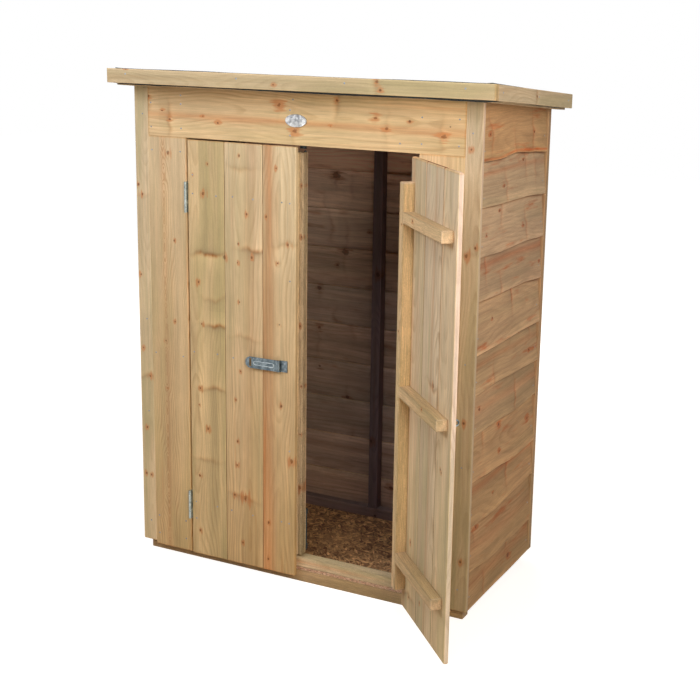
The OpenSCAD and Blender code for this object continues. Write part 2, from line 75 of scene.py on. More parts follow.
RIGHT_PIN = Vector(JOINTS["right_door_hinge"]["pos_m"])
RIGHT_OPEN = math.radians(-JOINTS["right_door_hinge"]["range_deg"][0])
OPEN_DOOR = (
    Matrix.Translation(RIGHT_PIN)
    @ Matrix.Rotation(RIGHT_OPEN, 4, "Z")
    @ Matrix.Translation(-RIGHT_PIN)
)
FORWARD, BACKWARD = Vector((0, -1, 0)), Vector((0, 1, 0))


def roof_z(y):
    """Height of the roof deck's lower face."""
    return FRONT_H - ROOF_SLOPE * (y - FRONT_Y)


def srgb(r, g, b):
    """A colour on a 0-255 scale, as linear RGBA."""

    def one(c):
        c /= 255
        return c / 12.92 if c <= 0.04045 else ((c + 0.055) / 1.055) ** 2.4

    return (one(r), one(g), one(b), 1.0)


# ---------------------------------------------------------------- shader building


class Value:
    """What a node gives. Arithmetic on it adds Math nodes."""

    def __init__(self, nodes, socket):
        self.nodes, self.socket = nodes, socket

    def __add__(self, other):
        return self.nodes.math("ADD", self, other)

    def __sub__(self, other):
        return self.nodes.math("SUBTRACT", self, other)

    def __rsub__(self, other):
        return self.nodes.math("SUBTRACT", other, self)

    def __mul__(self, other):
        return self.nodes.math("MULTIPLY", self, other)

    def __truediv__(self, other):
        return self.nodes.math("DIVIDE", self, other)

    def __pow__(self, other):
        return self.nodes.math("POWER", self, other)

    def __abs__(self):
        return self.nodes.math("ABSOLUTE", self)


class Nodes:
    """The node tree of a material or a world, filled by short calls that return Values."""

    def __init__(self, owner, output="ShaderNodeOutputMaterial"):
        owner.use_nodes = True
        self.tree = owner.node_tree
        self.tree.nodes.clear()
        self.surface = self.tree.nodes.new(output).inputs["Surface"]

    def feed(self, socket, value):
        if isinstance(value, Value):
            self.tree.links.new(value.socket, socket)
        elif value is not None:
            socket.default_value = value

    def node(self, kind, out=0, inputs=(), **settings):
        n = self.tree.nodes.new("ShaderNode" + kind)
        for key, value in settings.items():
            setattr(n, key, value)
        for key, value in dict(inputs).items():
            self.feed(n.inputs[key], value)
        return Value(self, n.outputs[out])

    def math(self, op, a, b=None, clamp=False):
        return self.node("Math", inputs=[(0, a), (1, b)], operation=op, use_clamp=clamp)

    def least(self, a, b):
        return self.math("MINIMUM", a, b)

    def most(self, a, b):
        return self.math("MAXIMUM", a, b)


class Shader(Nodes):
    """A material with one principled surface."""

    def __init__(self, name):
        self.mat = bpy.data.materials.new(name)
        super().__init__(self.mat)
        self.bsdf = self.tree.nodes.new("ShaderNodeBsdfPrincipled")
        self.tree.links.new(self.bsdf.outputs[0], self.surface)

    def place(self):
        """The point in the object's own frame."""
        return self.node("TexCoord", "Object")

    def attr(self, name):
        return self.node("Attribute", "Vector", attribute_name=name)

    def multiply(self, a, b):
        """Two vectors or colours, part by part."""
        return self.node("VectorMath", inputs=[(0, a), (1, b)], operation="MULTIPLY")

    def split(self, vector):
        n = self.tree.nodes.new("ShaderNodeSeparateXYZ")
        self.feed(n.inputs[0], vector)
        return [Value(self, part) for part in n.outputs]

    def join(self, x, y, z):
        return self.node("CombineXYZ", inputs=[(0, x), (1, y), (2, z)])

    def noise(self, vector, stretch, detail=2.0, rough=0.5, out=0):
        spot = self.multiply(vector, stretch)
        return self.node("TexNoise", out, [("Vector", spot), ("Scale", 1.0),
                                           ("Detail", detail), ("Roughness", rough)])

    def cells(self, vector, stretch, out=0, feature="F1"):
        spot = self.multiply(vector, stretch)
        return self.node("TexVoronoi", out, [("Vector", spot), ("Scale", 1.0)], feature=feature)

    def step(self, value, low, high, to_low=0.0, to_high=1.0):
        """Smooth step from low to high."""
        return self.node("MapRange", 0, [("Value", value), ("From Min", low), ("From Max", high),
                                         ("To Min", to_low), ("To Max", to_high)],
                         interpolation_type="SMOOTHSTEP")

    def around(self, value, centre, spread):
        """Turns a 0-1 noise into a factor of that spread round a centre."""
        return value * (2 * spread) + (centre - spread)

    def bell(self, value, width):
        """A bell curve that falls off round zero."""
        return self.math("EXPONENT", (value * width) ** 2.0 * -1.0)

    def mix(self, fac, a, b):
        return self.node("Mix", 2, [(0, fac), (6, a), (7, b)], data_type="RGBA")

    def scale(self, colour, value):
        """Colour times a number."""
        return self.node("VectorMath", 0, [(0, colour), (3, value)], operation="SCALE")

    def bump(self, height, distance, strength=1.0):
        self.set(Normal=self.node("Bump", 0, [("Height", height), ("Distance", distance),
                                              ("Strength", strength)]))

    def set(self, **values):
        for key, value in values.items():
            self.feed(self.bsdf.inputs[key.replace("_", " ")], value)


def knot_field(s, name, ragged):
    """Reads one set of knots: pull on the grain across the board, distance in knot radii, the
    side of the knot (-1 to 1 along the grain) and its radius."""
    du, dv, radius = s.split(s.attr(name))
    reach = s.math("SQRT", (du * 0.8) ** 2.0 + dv ** 2.0) / radius + ragged
    side = dv / (abs(dv) + radius * 0.35)
    pull = s.bell(reach, 0.34) * side * (radius * 1.3)
    return pull, reach, du / radius, radius


def lane_of(s, name, across):
    """Strength of a lane along the board: the attribute holds its middle, width and strength."""
    middle, width, strength = s.split(s.attr(name))
    return s.bell((across - middle) / width, 1.0) * strength


def whorl(s, grain):
    """Grain that dives round a ring of knots: a painted sheen of a pale and a dark band across the
    board, as a factor, and how much of the scar's line shows between them."""
    du, dv, strength = s.split(s.attr("whorl"))
    strength = strength * s.bell(dv, 1 / (42 * MM))
    bend = s.around(s.noise(grain, (6, 22, 22)), 0.0, 26 * MM)
    off = (du + bend) / (17 * MM)
    fall = s.math("EXPONENT", abs(off) * -0.85)
    # Painted sheen: paler on one side of the scar's line and darker on the other, as the diving
    # grain would catch the light
    painted_sheen = s.step(off, -0.3, 0.3, -1.0, 1.0) * fall * strength
    line = s.bell(off, 2.6) * abs(strength) * s.noise(grain, (30, 90, 90), 3.0, 0.6)
    return painted_sheen * 0.26 + 1.0, line


def wood(name, early, late, heart, scar, knot, live, green, ring=5.2 * MM, contrast=0.5,
         rough=0.72, streak=1.0, saw=0.15, run=0.8, wear_and_highlight_gain=0.16, cut=(1.0, 1.0, 1.0),
         mottle=0.3, jag=(5, 3 * MM), flame=0.0):
    """Sawn softwood. early and late are the two parts of a ring, heart the streaks, scar the
    line in a whorl, knot and live the dark and light parts of a knot, green the treatment's
    stain. run is how many streaks start in a metre, wear_and_highlight_gain how much paler the
    worn edges are, and on the overlap boards how strong the painted highlight along their lower
    margins is, cut tints the end grain, jag is how often and how far the rings waver, and flame
    how far they leap near the pith."""
    s = Shader(name)
    grain, tone = s.attr("grain"), s.attr("tone")
    edge, tip, warm = s.split(s.attr("edges_tip_warm"))
    u, v, w = s.split(grain)

    # Knots, and the rings that bend round them
    ragged = s.around(s.noise(grain, (120, 170, 170), 3.0, 0.6), 0.0, 0.9)
    pull1, reach1, side, size1 = knot_field(s, "knot", ragged)
    pull2, reach2, _, size2 = knot_field(s, "knot2", ragged)
    reach = s.least(reach1, reach2)
    size = size2 + s.math("LESS_THAN", reach1, reach2) * (size1 - size2)
    slow = s.around(s.noise(grain, (1.9, 6, 6)), 0.0, 62 * MM)
    quick = s.around(s.noise(grain, (jag[0], 40, 40)), 0.0, jag[1])
    across = v - (pull1 + pull2)
    bent = s.join(u, across, w)
    radius = s.math("SQRT", across ** 2.0 + w ** 2.0) + (slow + quick)
    strength = s.around(s.noise(bent, (0.9, 34, 34)), 0.42, 1.0)
    if flame:
        middle = s.bell(across, 1 / (9 * MM))
        radius = radius + s.around(s.noise(grain, (20, 12, 12)), 0.0, flame) * middle
        strength = strength + middle * 0.3
    phase = s.math("FRACT", radius / ring)
    rings = s.step(phase, 0.3, 0.84) * s.step(phase, 0.88, 1.0, 1.0, 0.0)
    rings = s.math("MULTIPLY", rings, strength, clamp=True) * (1.0 - tip * 0.3)

    # Colour along the grain
    fibre = s.noise(bent, (30, 700, 700), 2.0, 0.6)
    strand = s.noise(bent, (3.2, 170, 170), 5.0, 0.68)
    broad = s.noise(bent, (1.4, 24, 24))
    blotch = s.noise(grain, (7, 17, 17), 3.0, 0.6)
    fuzz = s.noise(grain, (420, 900, 900), 1.0)
    painted_sheen, line = whorl(s, grain)
    lane = lane_of(s, "band", v + slow * 0.16) * s.around(s.noise(bent, (1.6, 70, 70)), 0.8, 0.7)
    colour = s.mix(rings * contrast, early, late)
    stain = s.step(s.noise(bent, (1.7, 15, 9), 2.0, 0.55), 0.46, 0.62) * (1.0 - warm * 0.65)
    stain = s.math("SUBTRACT", stain * 0.75, s.least(lane, 0.0), clamp=True)
    colour = s.mix(stain, colour, green)
    streaks = s.step(s.noise(bent, (run, 34, 14), 3.0, 0.62), 0.56, 0.74) * warm * (0.8 * streak)
    colour = s.mix(s.least(streaks + s.most(lane, 0.0), 1.0), colour, heart)
    colour = s.mix(s.math("MULTIPLY", line, 1.25, clamp=True), colour, scar)
    light = s.around(strand, 1.0, mottle) * s.around(fibre, 1.0, saw)
    light = light * s.around(broad, 1.0, 0.8 * mottle) * s.around(blotch, 1.0, 0.6 * mottle)
    colour = s.scale(colour, light * painted_sheen * s.around(fuzz, 1.0, 0.8 * saw))

    # Smudge, core, year rings and dark rim of a knot
    spread = s.around(s.noise(grain, (10, 95, 95), 3.0, 0.62), 0.0, 6.5)
    colour = s.mix(s.step(reach + spread, 0.8, 3.2, 0.72, 0.0), colour, heart)
    core = s.step(reach, 0.5, 0.8, 1.0, 0.0)
    year = s.step(s.math("FRACT", reach * 3.4), 0.3, 0.9)
    knot_colour = s.mix(year * 0.5, live, knot)
    knot_colour = s.mix(s.step(size, 2.0 * MM, 4.5 * MM, 1.0, 0.25), knot_colour, knot)
    colour = s.mix(core * 0.85, colour, knot_colour)
    rim = s.step(reach, 0.5, 0.75) * s.step(reach, 0.9, 1.3, 1.0, 0.0)
    crescent = s.step(side + ragged * 2.0, -0.6, 1.2, 0.0, 0.5)
    colour = s.multiply(s.scale(colour, 1.0 - rim * crescent), tone)

    # Worn arrises, whose paleness on the overlap boards' wide lower margins is a painted highlight,
    # dirt and painted shade in the joints, a painted shadow under a lap, end grain
    wear_and_highlight = s.most(edge, 0.0) * s.step(s.noise(grain, (9, 60, 60), 3.0), 0.3, 0.6)
    colour = s.scale(colour, wear_and_highlight * wear_and_highlight_gain + 1.0)
    # A painted shadow under the lap above, and dirt with painted shade in the joints
    dirt_and_shade = s.most(s.most(edge * -1.0, 0.0) * 0.6, lane_of(s, "lap", v))
    left = [s.math("SUBTRACT", 1.0, dirt_and_shade * share, clamp=True) for share in (0.8, 1.0, 1.1)]
    colour = s.multiply(colour, s.join(*left))
    colour = s.mix(tip, colour, s.multiply(colour, cut))
    s.set(Base_Color=colour, Specular_IOR_Level=0.3, Roughness=strand * 0.16 + (rough - 0.06))
    s.bump(fibre * 0.7 + rings * 0.5 + (core * 0.8 + fuzz * 0.5), 0.6 * MM, 0.6)
    return s.mat


def strand_board(name):
    """Pressed strand board: flat wood strands in four layers of directions. Its sawn edges,
    where the normal lies flat, show the strands' ends."""
    s = Shader(name)
    place = s.place()
    best, colour = None, None
    for turn, across, along in ((0.35, 165, 50), (1.6, 140, 40), (-0.75, 180, 56), (2.55, 155, 45)):
        turned = s.node("VectorRotate", 0, [("Vector", place), ("Angle", turn)],
                        rotation_type="Z_AXIS")
        sway = s.scale(s.noise(turned, (30, 30, 30), 1.0, out=1), 0.009)
        warped = s.node("VectorMath", inputs=[(0, turned), (1, sway)], operation="ADD")
        stretch = (across, along, 60)
        rank, hue, _ = s.split(s.cells(warped, stretch, 1))
        rim = s.step(s.cells(warped, stretch), 0.1, 0.85, 1.0, 0.55)
        streaky = s.around(s.noise(turned, (900, 40, 200)), 1.0, 0.22)
        pale = s.scale(s.mix(hue, srgb(112, 72, 46), srgb(232, 178, 120)), rim * streaky)
        if best is None:
            best, colour = rank, pale
        else:
            colour = s.mix(s.math("GREATER_THAN", rank, best), colour, pale)
            best = s.most(rank, best)
    colour = s.scale(colour, s.around(best, 0.82, 0.42))
    upright = abs(s.split(s.node("NewGeometry", "Normal"))[2])
    side = s.step(upright, 0.3, 0.6, 1.0, 0.0)
    chips = s.split(s.cells(place, (150, 150, 900), 1))[0]
    gaps = s.step(s.noise(place, (240, 240, 900)), 0.36, 0.46)
    ends = s.scale(s.mix(chips, srgb(176, 120, 84), srgb(236, 200, 166)), gaps * 0.6 + 0.4)
    s.set(Base_Color=s.mix(side, colour, ends), Specular_IOR_Level=0.35, Roughness=0.62)
    s.bump(best + gaps * 0.6, 0.8 * MM, 0.7)
    return s.mat


def felt(name):
    """Mineral roofing felt: bitumen with fine grey-green granules, rubbed thin in patches."""
    s = Shader(name)
    place = s.place()
    granules = (620, 620, 620)
    grey = s.split(s.cells(place, granules, 1))[0]
    patches = s.noise(place, (7, 11, 7), 3.0, 0.6)
    colour = s.mix(grey, srgb(46, 52, 55), srgb(94, 100, 102))
    colour = s.mix(s.step(patches, 0.42, 0.62), colour, srgb(60, 66, 70))
    bald = s.step(s.noise(place, (46, 46, 46), 3.0, 0.7), 0.6, 0.68) * 0.6
    s.set(Base_Color=s.mix(bald, colour, srgb(28, 30, 34)), Roughness=0.9,
          Specular_IOR_Level=0.25)
    weave = s.noise(place, (34, 34, 34))
    s.bump(1.0 - s.cells(place, granules) + weave * 2.0, 0.6 * MM, 0.8)
    return s.mat


def zinc(name, dark, bright, rough, grain=70.0):
    """Zinc-plated steel with a soft spangle and duller patches."""
    s = Shader(name)
    place = s.place()
    spangle = s.split(s.cells(place, [grain * 3] * 3, 1))[0]
    dull = s.noise(place, [grain] * 3, 3.0, 0.6)
    colour = s.mix(s.around(spangle, 0.5, 0.3), dark, bright)
    colour = s.mix(s.step(dull, 0.45, 0.7), colour, dark)
    s.set(Base_Color=colour, Metallic=0.85, Roughness=dull * 0.2 + rough)
    s.bump(s.noise(place, (260, 30, 1400)) + dull, 0.12 * MM, 0.6)
    return s.mat


def badge_metal(name):
    """Bright pressed metal with a hand-hammered field."""
    s = Shader(name)
    place = s.place()
    dents = s.cells(place, (260, 260, 260), feature="SMOOTH_F1")
    cloud = s.noise(place, (90, 90, 90), 3.0, 0.6)
    colour = s.mix(s.step(cloud, 0.3, 0.7), srgb(128, 129, 132), srgb(214, 214, 212))
    s.set(Base_Color=colour, Metallic=0.75, Roughness=cloud * 0.2 + 0.34)
    s.bump(dents, 0.7 * MM, 1.0)
    return s.mat


def tints(*colours):
    """The seven colours of a timber, in the order that wood() names them."""
    names = ("early", "late", "heart", "scar", "knot", "live", "green")
    return {name: srgb(*colour) for name, colour in zip(names, colours)}


def wood_set():
    """The timbers of the shed: each is the same softwood, sawn, treated and worn differently, and
    the inside one painted darker and cooler, as shade. Each kind has its material and its slot."""
    front = tints((222, 192, 150), (168, 126, 82), (204, 134, 82), (166, 112, 64), (98, 60, 38),
                  (168, 112, 68), (192, 171, 126))
    flame = dict(front, late=srgb(170, 120, 70))
    clad = tints((190, 157, 122), (140, 102, 70), (178, 102, 60), (176, 96, 54), (82, 52, 36),
                 (132, 84, 54), (160, 138, 104))
    back = dict(clad, heart=srgb(142, 98, 66), scar=srgb(120, 80, 54))
    # The inside timbers get darker, cooler tints: painted shade of the inside
    inside = tints((110, 92, 92), (82, 66, 68), (104, 72, 58), (90, 62, 50), (50, 34, 28),
                   (84, 58, 46), (98, 84, 76))
    boards = dict(cut=(0.92, 0.8, 0.66))
    # The overlap boards' large edge gain paints a highlight along their lower margins
    lapped = dict(ring=11 * MM, contrast=0.42, rough=0.78, saw=0.24, wear_and_highlight_gain=0.42)
    return {
        "front": (wood("front_boards", **front, **boards, ring=8.5 * MM, contrast=0.58,
                       mottle=0.36), "front_boards"),
        "flame": (wood("flame_boards", **flame, **boards, ring=5 * MM, contrast=0.8,
                       jag=(7, 4 * MM), flame=20 * MM), "front_boards"),
        "trim": (wood("trim_boards", **front, ring=6 * MM, streak=0.7, cut=(0.95, 0.85, 0.72)),
                 "trim_boards"),
        "clad": (wood("weatherboards", **clad, **lapped, streak=1.5, run=6.0, mottle=0.36),
                 "weatherboards"),
        "frame": (wood("framing_timber", **front, ring=4.6 * MM, saw=0.45, wear_and_highlight_gain=-0.2,
                       cut=(0.98, 1.0, 1.15)), "framing_timber"),
        "back": (wood("back_weatherboards", **back, **lapped, run=7.0, mottle=0.5),
                 "weatherboards"),
        "rough": (wood("rough_timber", **front, ring=7 * MM, contrast=0.3, saw=0.9, mottle=0.6),
                  "framing_timber"),
        "inside": (wood("shaded_inside_timber", **inside, ring=4.6 * MM, contrast=0.6),
                   "framing_timber"),
    }


# ---------------------------------------------------------------- board building

RING = 20  # points round a board's section: five a side
HIGH_EDGE = (4, 5, 6, 7, 8, 9)  # of them, those on a board's two edges
LOW_EDGE = (14, 15, 16, 17, 18, 19)
OUTER_FACE = (10, 11, 12, 13, 14)
ARRISES = (4, 9, 14, 19)
OFF_LANE = (9.0, MM, 0.0)  # a lane that is nowhere near the board
NO_KNOT = (9.0, 9.0, 0.001)  # nor is this knot


def section(low_v, high_v, low_w, high_w, arris, inset):
    """Points round a board's section and how near each is to an arris (1) or the face (0)."""
    corners = [(low_v, low_w), (high_v, low_w), (high_v, high_w), (low_v, high_w)]
    turns = [(1, 0), (0, 1), (-1, 0), (0, -1)]
    bevel = arris * (1 - math.sqrt(0.5))
    points, near = [], []
    for i in range(4):
        a, b = np.array(corners[i]), np.array(corners[(i + 1) % 4])
        along, inward = np.array(turns[i]), np.array(turns[(i + 1) % 4])
        back = min(inset, 0.45 * abs((b - a) @ along) - arris)
        points += [a + along * arris, a + along * (arris + back), b - along * (arris + back),
                   b - along * arris, b - along * bevel + inward * bevel]
        near += [1, 0, 0, 1, 1]
    return np.array(points), near


def wave(rng, size, lengths=(0.9, 0.37, 0.17)):
    """A smooth random function of length along a board, up to about the given size."""
    parts = [(size * s, 2 * math.pi / l, rng.uniform(0, 6.28))
             for s, l in zip((0.6, 0.3, 0.15), lengths)]
    return lambda u: sum(a * math.sin(k * u + p) for a, k, p in parts)


class Boards:
    """Gathers the boards of one piece and makes them one mesh."""

    def __init__(self, name, seed=0):
        self.name = name
        self.rng = random.Random(f"{name}{seed}")
        self.points, self.faces = [], []
        self.point_data = {"grain": [], "tone": [], "edges_tip_warm": [], "band": [], "lap": []}
        self.corner_data = {"knot": [], "knot2": [], "whorl": []}

    def add(self, size, place, knots=(), tone=None, warm=None, arris=1.0 * MM, lower=None,
            wobble=0.25 * MM, step=22 * MM, stray=1.6, joint=(0, 0), sides=(1, 1, 1, 1),
            pith=None, fade=(1, 1, 1), band=None, whorls=None, lap=None, margin=3 * MM):
        """size is (length, width, thickness); place maps local points (along, across, out) to
        the row frame.

        knots are (along, across, radius) and whorls (along, across, strength); lower moves the
        board's lower edge; joint is the dirt and painted shade on its low and high edges; sides are
        tones of its inner face, high edge, outer face and low edge, or of each point round it; pith
        is where the rings centre (across, depth); fade is the tone gained over its length, for all
        its sides or for each, which paints light that falls off along the board; band is a lane of
        heartwood, or of green if below 0 (across, half width, strength); lap gives the line
        of painted shadow under the next board; margin is how far in from its edges the board is
        worn, and on the overlap boards that pale margin is a painted highlight.
        """
        rng = self.rng
        length, width, thick = size
        if tone is None:
            shade, hue = rng.uniform(0.93, 1.06), rng.uniform(-0.035, 0.035)
            tone = (shade * (1 + hue), shade, shade * (1 - 1.3 * hue))
        warm = rng.uniform(0.2, 0.9) if warm is None else warm
        pith = pith or (rng.uniform(0.1, 0.9) * width, -rng.uniform(8, 34) * MM)
        shift = rng.uniform(0, 40)
        knots = list(knots) or scatter_knots(rng, length, width, stray)
        if band is None:
            band = (rng.uniform(0.1, 0.9) * width, rng.uniform(4, 14) * MM, rng.uniform(-0.5, 0.5))
        if whorls is None:
            whorls = [(k[0], k[1], rng.uniform(-0.8, 0.8)) for k in knots if k[2] > 2.8 * MM]
        sets = [sorted(knots)[0::2], sorted(knots)[1::2], sorted(whorls)]
        cuts = [[(a[0] + b[0]) / 2 for a, b in zip(group, group[1:])] for group in sets]
        edge_low, edge_high = wave(rng, wobble), wave(rng, wobble)
        face_low, face_high = wave(rng, 0.4 * wobble), wave(rng, 0.4 * wobble)
        pieces = max(1, round(length / step))
        stops = {0.0, arris, 5 * MM, length - 5 * MM, length - arris, length}
        stops |= {cut for group in cuts for cut in group}
        stops |= {length * k / pieces for k in range(1, pieces)}
        stops = sorted(t for t in stops if 0 <= t <= length)
        stops = [t for i, t in enumerate(stops) if i == 0 or t - stops[i - 1] > 0.2 * MM]
        painted_light_fades = fade if np.ndim(fade) == 2 else [fade] * 4
        first = len(self.points)
        local = []
        data = self.point_data
        for t in stops:
            low_v = edge_low(t) + (lower(t) if lower else 0)
            high_v = width + edge_high(t)
            ring, near = section(low_v, high_v, face_low(t), thick + face_high(t), arris, margin)
            if t < 0.5 * arris or t > length - 0.5 * arris:
                middle = ring.mean(0)
                ring = middle + (ring - middle) * (1 - 2 * arris / np.array([width, thick]))
            tip = 1.0 if min(t, length - t) < 1.5 * arris else 0.0
            lap_line = (lap(t) - pith[0], 4.2 * MM, 0.5) if lap else OFF_LANE
            for j, ((v, w), e) in enumerate(zip(ring, near)):
                # Joints carry dirt and painted shade, as an edge value below 0
                dirt_and_shade = joint[0] if j in LOW_EDGE else joint[1] if j in HIGH_EDGE else 0
                if dirt_and_shade:
                    e = -dirt_and_shade * (0.5 if j in ARRISES else 1.0)
                shade = np.multiply(tone, sides[j * len(sides) // RING])
                gained = painted_light_fades[j * 4 // RING]
                along_edge = low_v * max(0.0, 1 - v / width)
                local.append((t, v, w))
                data["grain"].append((t + shift, v - along_edge - pith[0], w - pith[1]))
                data["tone"].append([c * (1 + (f - 1) * t / length)
                                     for c, f in zip(shade, gained)])
                data["edges_tip_warm"].append((e, tip, warm))
                data["band"].append((band[0] - pith[0], band[1], band[2]))
                data["lap"].append(lap_line if j in OUTER_FACE else OFF_LANE)
        local = np.array(local)
        self.points += list(place(local))
        flipped = is_flipped(place)

        def face(indices, at):
            indices = indices[::-1] if flipped else indices
            self.faces.append([first + i for i in indices])
            for key, group, cut in zip(self.corner_data, sets, cuts):
                if group:
                    k = group[sum(at > c for c in cut)]
                    rows = [(local[i][0] - k[0], local[i][1] - k[1], k[2]) for i in indices]
                else:
                    rows = [NO_KNOT] * len(indices)
                self.corner_data[key] += rows

        for i in range(len(stops) - 1):
            for j in range(RING):
                a, b = i * RING + j, i * RING + (j + 1) % RING
                face([a, b, b + RING, a + RING], (stops[i] + stops[i + 1]) / 2)
        face(list(range(RING))[::-1], stops[0])
        face([(len(stops) - 1) * RING + j for j in range(RING)], stops[-1])

    def build(self, body, kind, node, slot=None):
        mesh = plain_mesh(self.name, self.points, self.faces)
        for domain, table in (("POINT", self.point_data), ("CORNER", self.corner_data)):
            for key, rows in table.items():
                data = mesh.attributes.new(key, "FLOAT_VECTOR", domain)
                data.data.foreach_set("vector", np.array(rows, np.float32).ravel())
        material, usual_slot = woods[kind]
        finish_piece(self.name, mesh, body, material, [node], 38)


def is_flipped(place):
    o, x, y, z = place(np.array([[0, 0, 0], [MM, 0, 0], [0, MM, 0], [0, 0, MM]], float))
    return np.dot(np.cross(x - o, y - o), z - o) < 0


def plain_mesh(name, points, faces):
    mesh = bpy.data.meshes.new(name)
    mesh.from_pydata([tuple(p) for p in points], [], faces)
    return mesh


def finish_piece(name, mesh, body, material, replaces, smooth):
    """Makes an object of a mesh in the row frame, shades it and lets it ride on its body."""
    mesh.validate()
    mesh.polygons.foreach_set("use_smooth", [True] * len(mesh.polygons))
    mesh.set_sharp_from_angle(angle=math.radians(smooth))
    mesh.materials.append(material)
    obj = bpy.data.objects.new(name, mesh)
    bpy.context.scene.collection.objects.link(obj)
    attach(obj, body)
    if replaces:
        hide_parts(*replaces)


def scatter_knots(rng, length, width, per_metre):
    """Random knots along a board, none closer than a few radii to the next."""
    found = []
    for _ in range(max(0, round(length * per_metre + rng.uniform(-0.5, 0.5)))):
        radius = min(rng.uniform(1.6, 4.6) * MM, 0.2 * width)
        found.append((rng.uniform(0.03, 0.97) * length, rng.uniform(0.15, 0.85) * width, radius))
    return sorted(found) or [(-1.0, 0.0, MM)]


# ---------------------------------------------------------------- timbers from CAD solids

AXES = {"x": 0, "y": 1, "z": 2}
KNOT_CORE = 0.66  # share of a listed knot's radius that is its core, on planed boards
CLAD_KNOT_CORE = 0.7  # and on overlap boards


def solids(node, matrix=None):
    """The corner points of each separate solid of a CAD node."""
    mesh = frame["nodes"][node].data
    points = np.array([v.co for v in mesh.vertices], float)
    if matrix is not None:
        m = np.array(matrix.inverted(), float)
        points = points @ m[:3, :3].T + m[:3, 3]
    keys = {}
    merged = [keys.setdefault(tuple(np.round(p / (0.01 * MM)).astype(int)), i)
              for i, p in enumerate(points)]
    parent = list(range(len(points)))

    def root(i):
        while parent[i] != i:
            parent[i] = parent[parent[i]]
            i = parent[i]
        return i

    for polygon in mesh.polygons:
        ids = [merged[i] for i in polygon.vertices]
        for i in ids[1:]:
            parent[root(i)] = root(ids[0])
    groups = {}
    for i in sorted(set(merged)):
        groups.setdefault(root(i), []).append(points[i])
    found = [np.array(g) for g in groups.values()]
    return sorted(found, key=lambda g: tuple(np.round(g.min(0), 4)))


def level(points, sign=1):
    """Undoes (sign 1) or applies (sign -1) the roof's fall."""
    moved = points.copy()
    moved[:, 2] += sign * ROOF_SLOPE * (moved[:, 1] - FRONT_Y)
    return moved


def in_metres(values):
    """A band or a pith: its two lengths are listed in mm."""
    return values and (values[0] * MM, values[1] * MM, *values[2:])


def timber(node, kind, body="shed", slot=None, grain=None, out=None, knots=(), tones=(),
           warms=(), matrix=None, tongue=0, arris=1.2 * MM, joints=(), bands=(), piths=(),
           whorls=None, painted_light_fades=(), sides=(), shorter=()):
    """Rebuilds each solid of a CAD node as a board. Knots and whorls are (x or y, z, radius or
    strength) in mm; each goes to the board that it lies on. tones, warms, joints, bands, piths,
    painted_light_fades and sides hold one value a board, bands and piths in mm, and so does
    shorter: what comes off its two ends. tongue trims the boards' tongues, on the side that its
    sign gives."""
    boards = Boards(f"{node}_wood")
    found = solids(node, matrix)
    for n, points in enumerate(found):
        flat = level(points)
        sloped = np.prod(np.ptp(flat, axis=0)) < 0.995 * np.prod(np.ptp(points, axis=0))
        low, high = (flat if sloped else points).min(0), (flat if sloped else points).max(0)
        if tongue > 0 and n < len(found) - 1:
            high[0] -= TONGUE
        if tongue < 0 and n > 0:
            low[0] += TONGUE
        along = AXES[grain] if grain else int(np.argmax(high - low))
        if n < len(shorter):
            low[along] += shorter[n] * MM
            high[along] -= shorter[n] * MM
        size = high - low
        outward = AXES[out] if out else int(np.argmin(size))
        if outward == along:
            outward = (along + 1) % 3
        across = 3 - along - outward
        order = [along, across, outward]
        margin = np.min(roof_z(points[:, 1]) - points[:, 2])

        def place(local):
            row = np.empty_like(local)
            for i, axis in enumerate(order):
                row[:, axis] = local[:, i] + low[axis]
            if sloped:
                row = level(row, -1)
            row[:, 2] = np.minimum(row[:, 2], roof_z(row[:, 1]) - margin)
            if matrix is not None:
                m = np.array(matrix, float)
                row = row @ m[:3, :3].T + m[:3, 3]
            return row

        def found_here(spots, scale):
            here = []
            for first, z, value in spots:
                spot = (first * MM, first * MM, z * MM)
                if all(low[a] - 3 * MM < spot[a] < high[a] + 3 * MM for a in (along, across)):
                    here.append((spot[along] - low[along], spot[across] - low[across],
                                 value * scale))
            return here

        def own(values, default=None):
            return values[n] if n < len(values) else default

        boards.add(
            size[order], place, found_here(knots, KNOT_CORE * MM), tone=own(tones),
            warm=own(warms), arris=arris, joint=own(joints, (0, 0)), band=in_metres(own(bands)),
            pith=in_metres(own(piths)), whorls=None if whorls is None else found_here(whorls, 1.0),
            fade=own(painted_light_fades, (1, 1, 1)), sides=own(sides, (1, 1, 1, 1)),
        )
    boards.build(body, kind, node, slot)


# ---------------------------------------------------------------- overlap boards


def edge_curve(offsets, length):
    """A smooth curve through offsets (mm) spread evenly along a board."""
    steps = np.linspace(0, length, len(offsets))

    def value(u):
        i = int(np.clip(np.searchsorted(steps, u) - 1, 0, len(steps) - 2))
        t = (u - steps[i]) / (steps[i + 1] - steps[i])
        t = t * t * (3 - 2 * t)
        return MM * (offsets[i] * (1 - t) + offsets[i + 1] * t)

    return value


# Lower edges of the right wall's boards, front to back, lowest board first, in mm off a
# straight course: the boards are waney, so no two edges run alike
RIGHT_EDGES = [
    (0, 1, 0, 1), (-9, -21, -20, -17), (-3, -9, -2, 3), (3, -6, -16, -12), (8, 9, 3, 9),
    (0, 2, -4, -8), (-11, -12, -11, -14), (8, 5, 4, -5), (4, -1, 0, -5), (9, 5, 3, -5),
    (5, 3, 9, 1, -7),
]
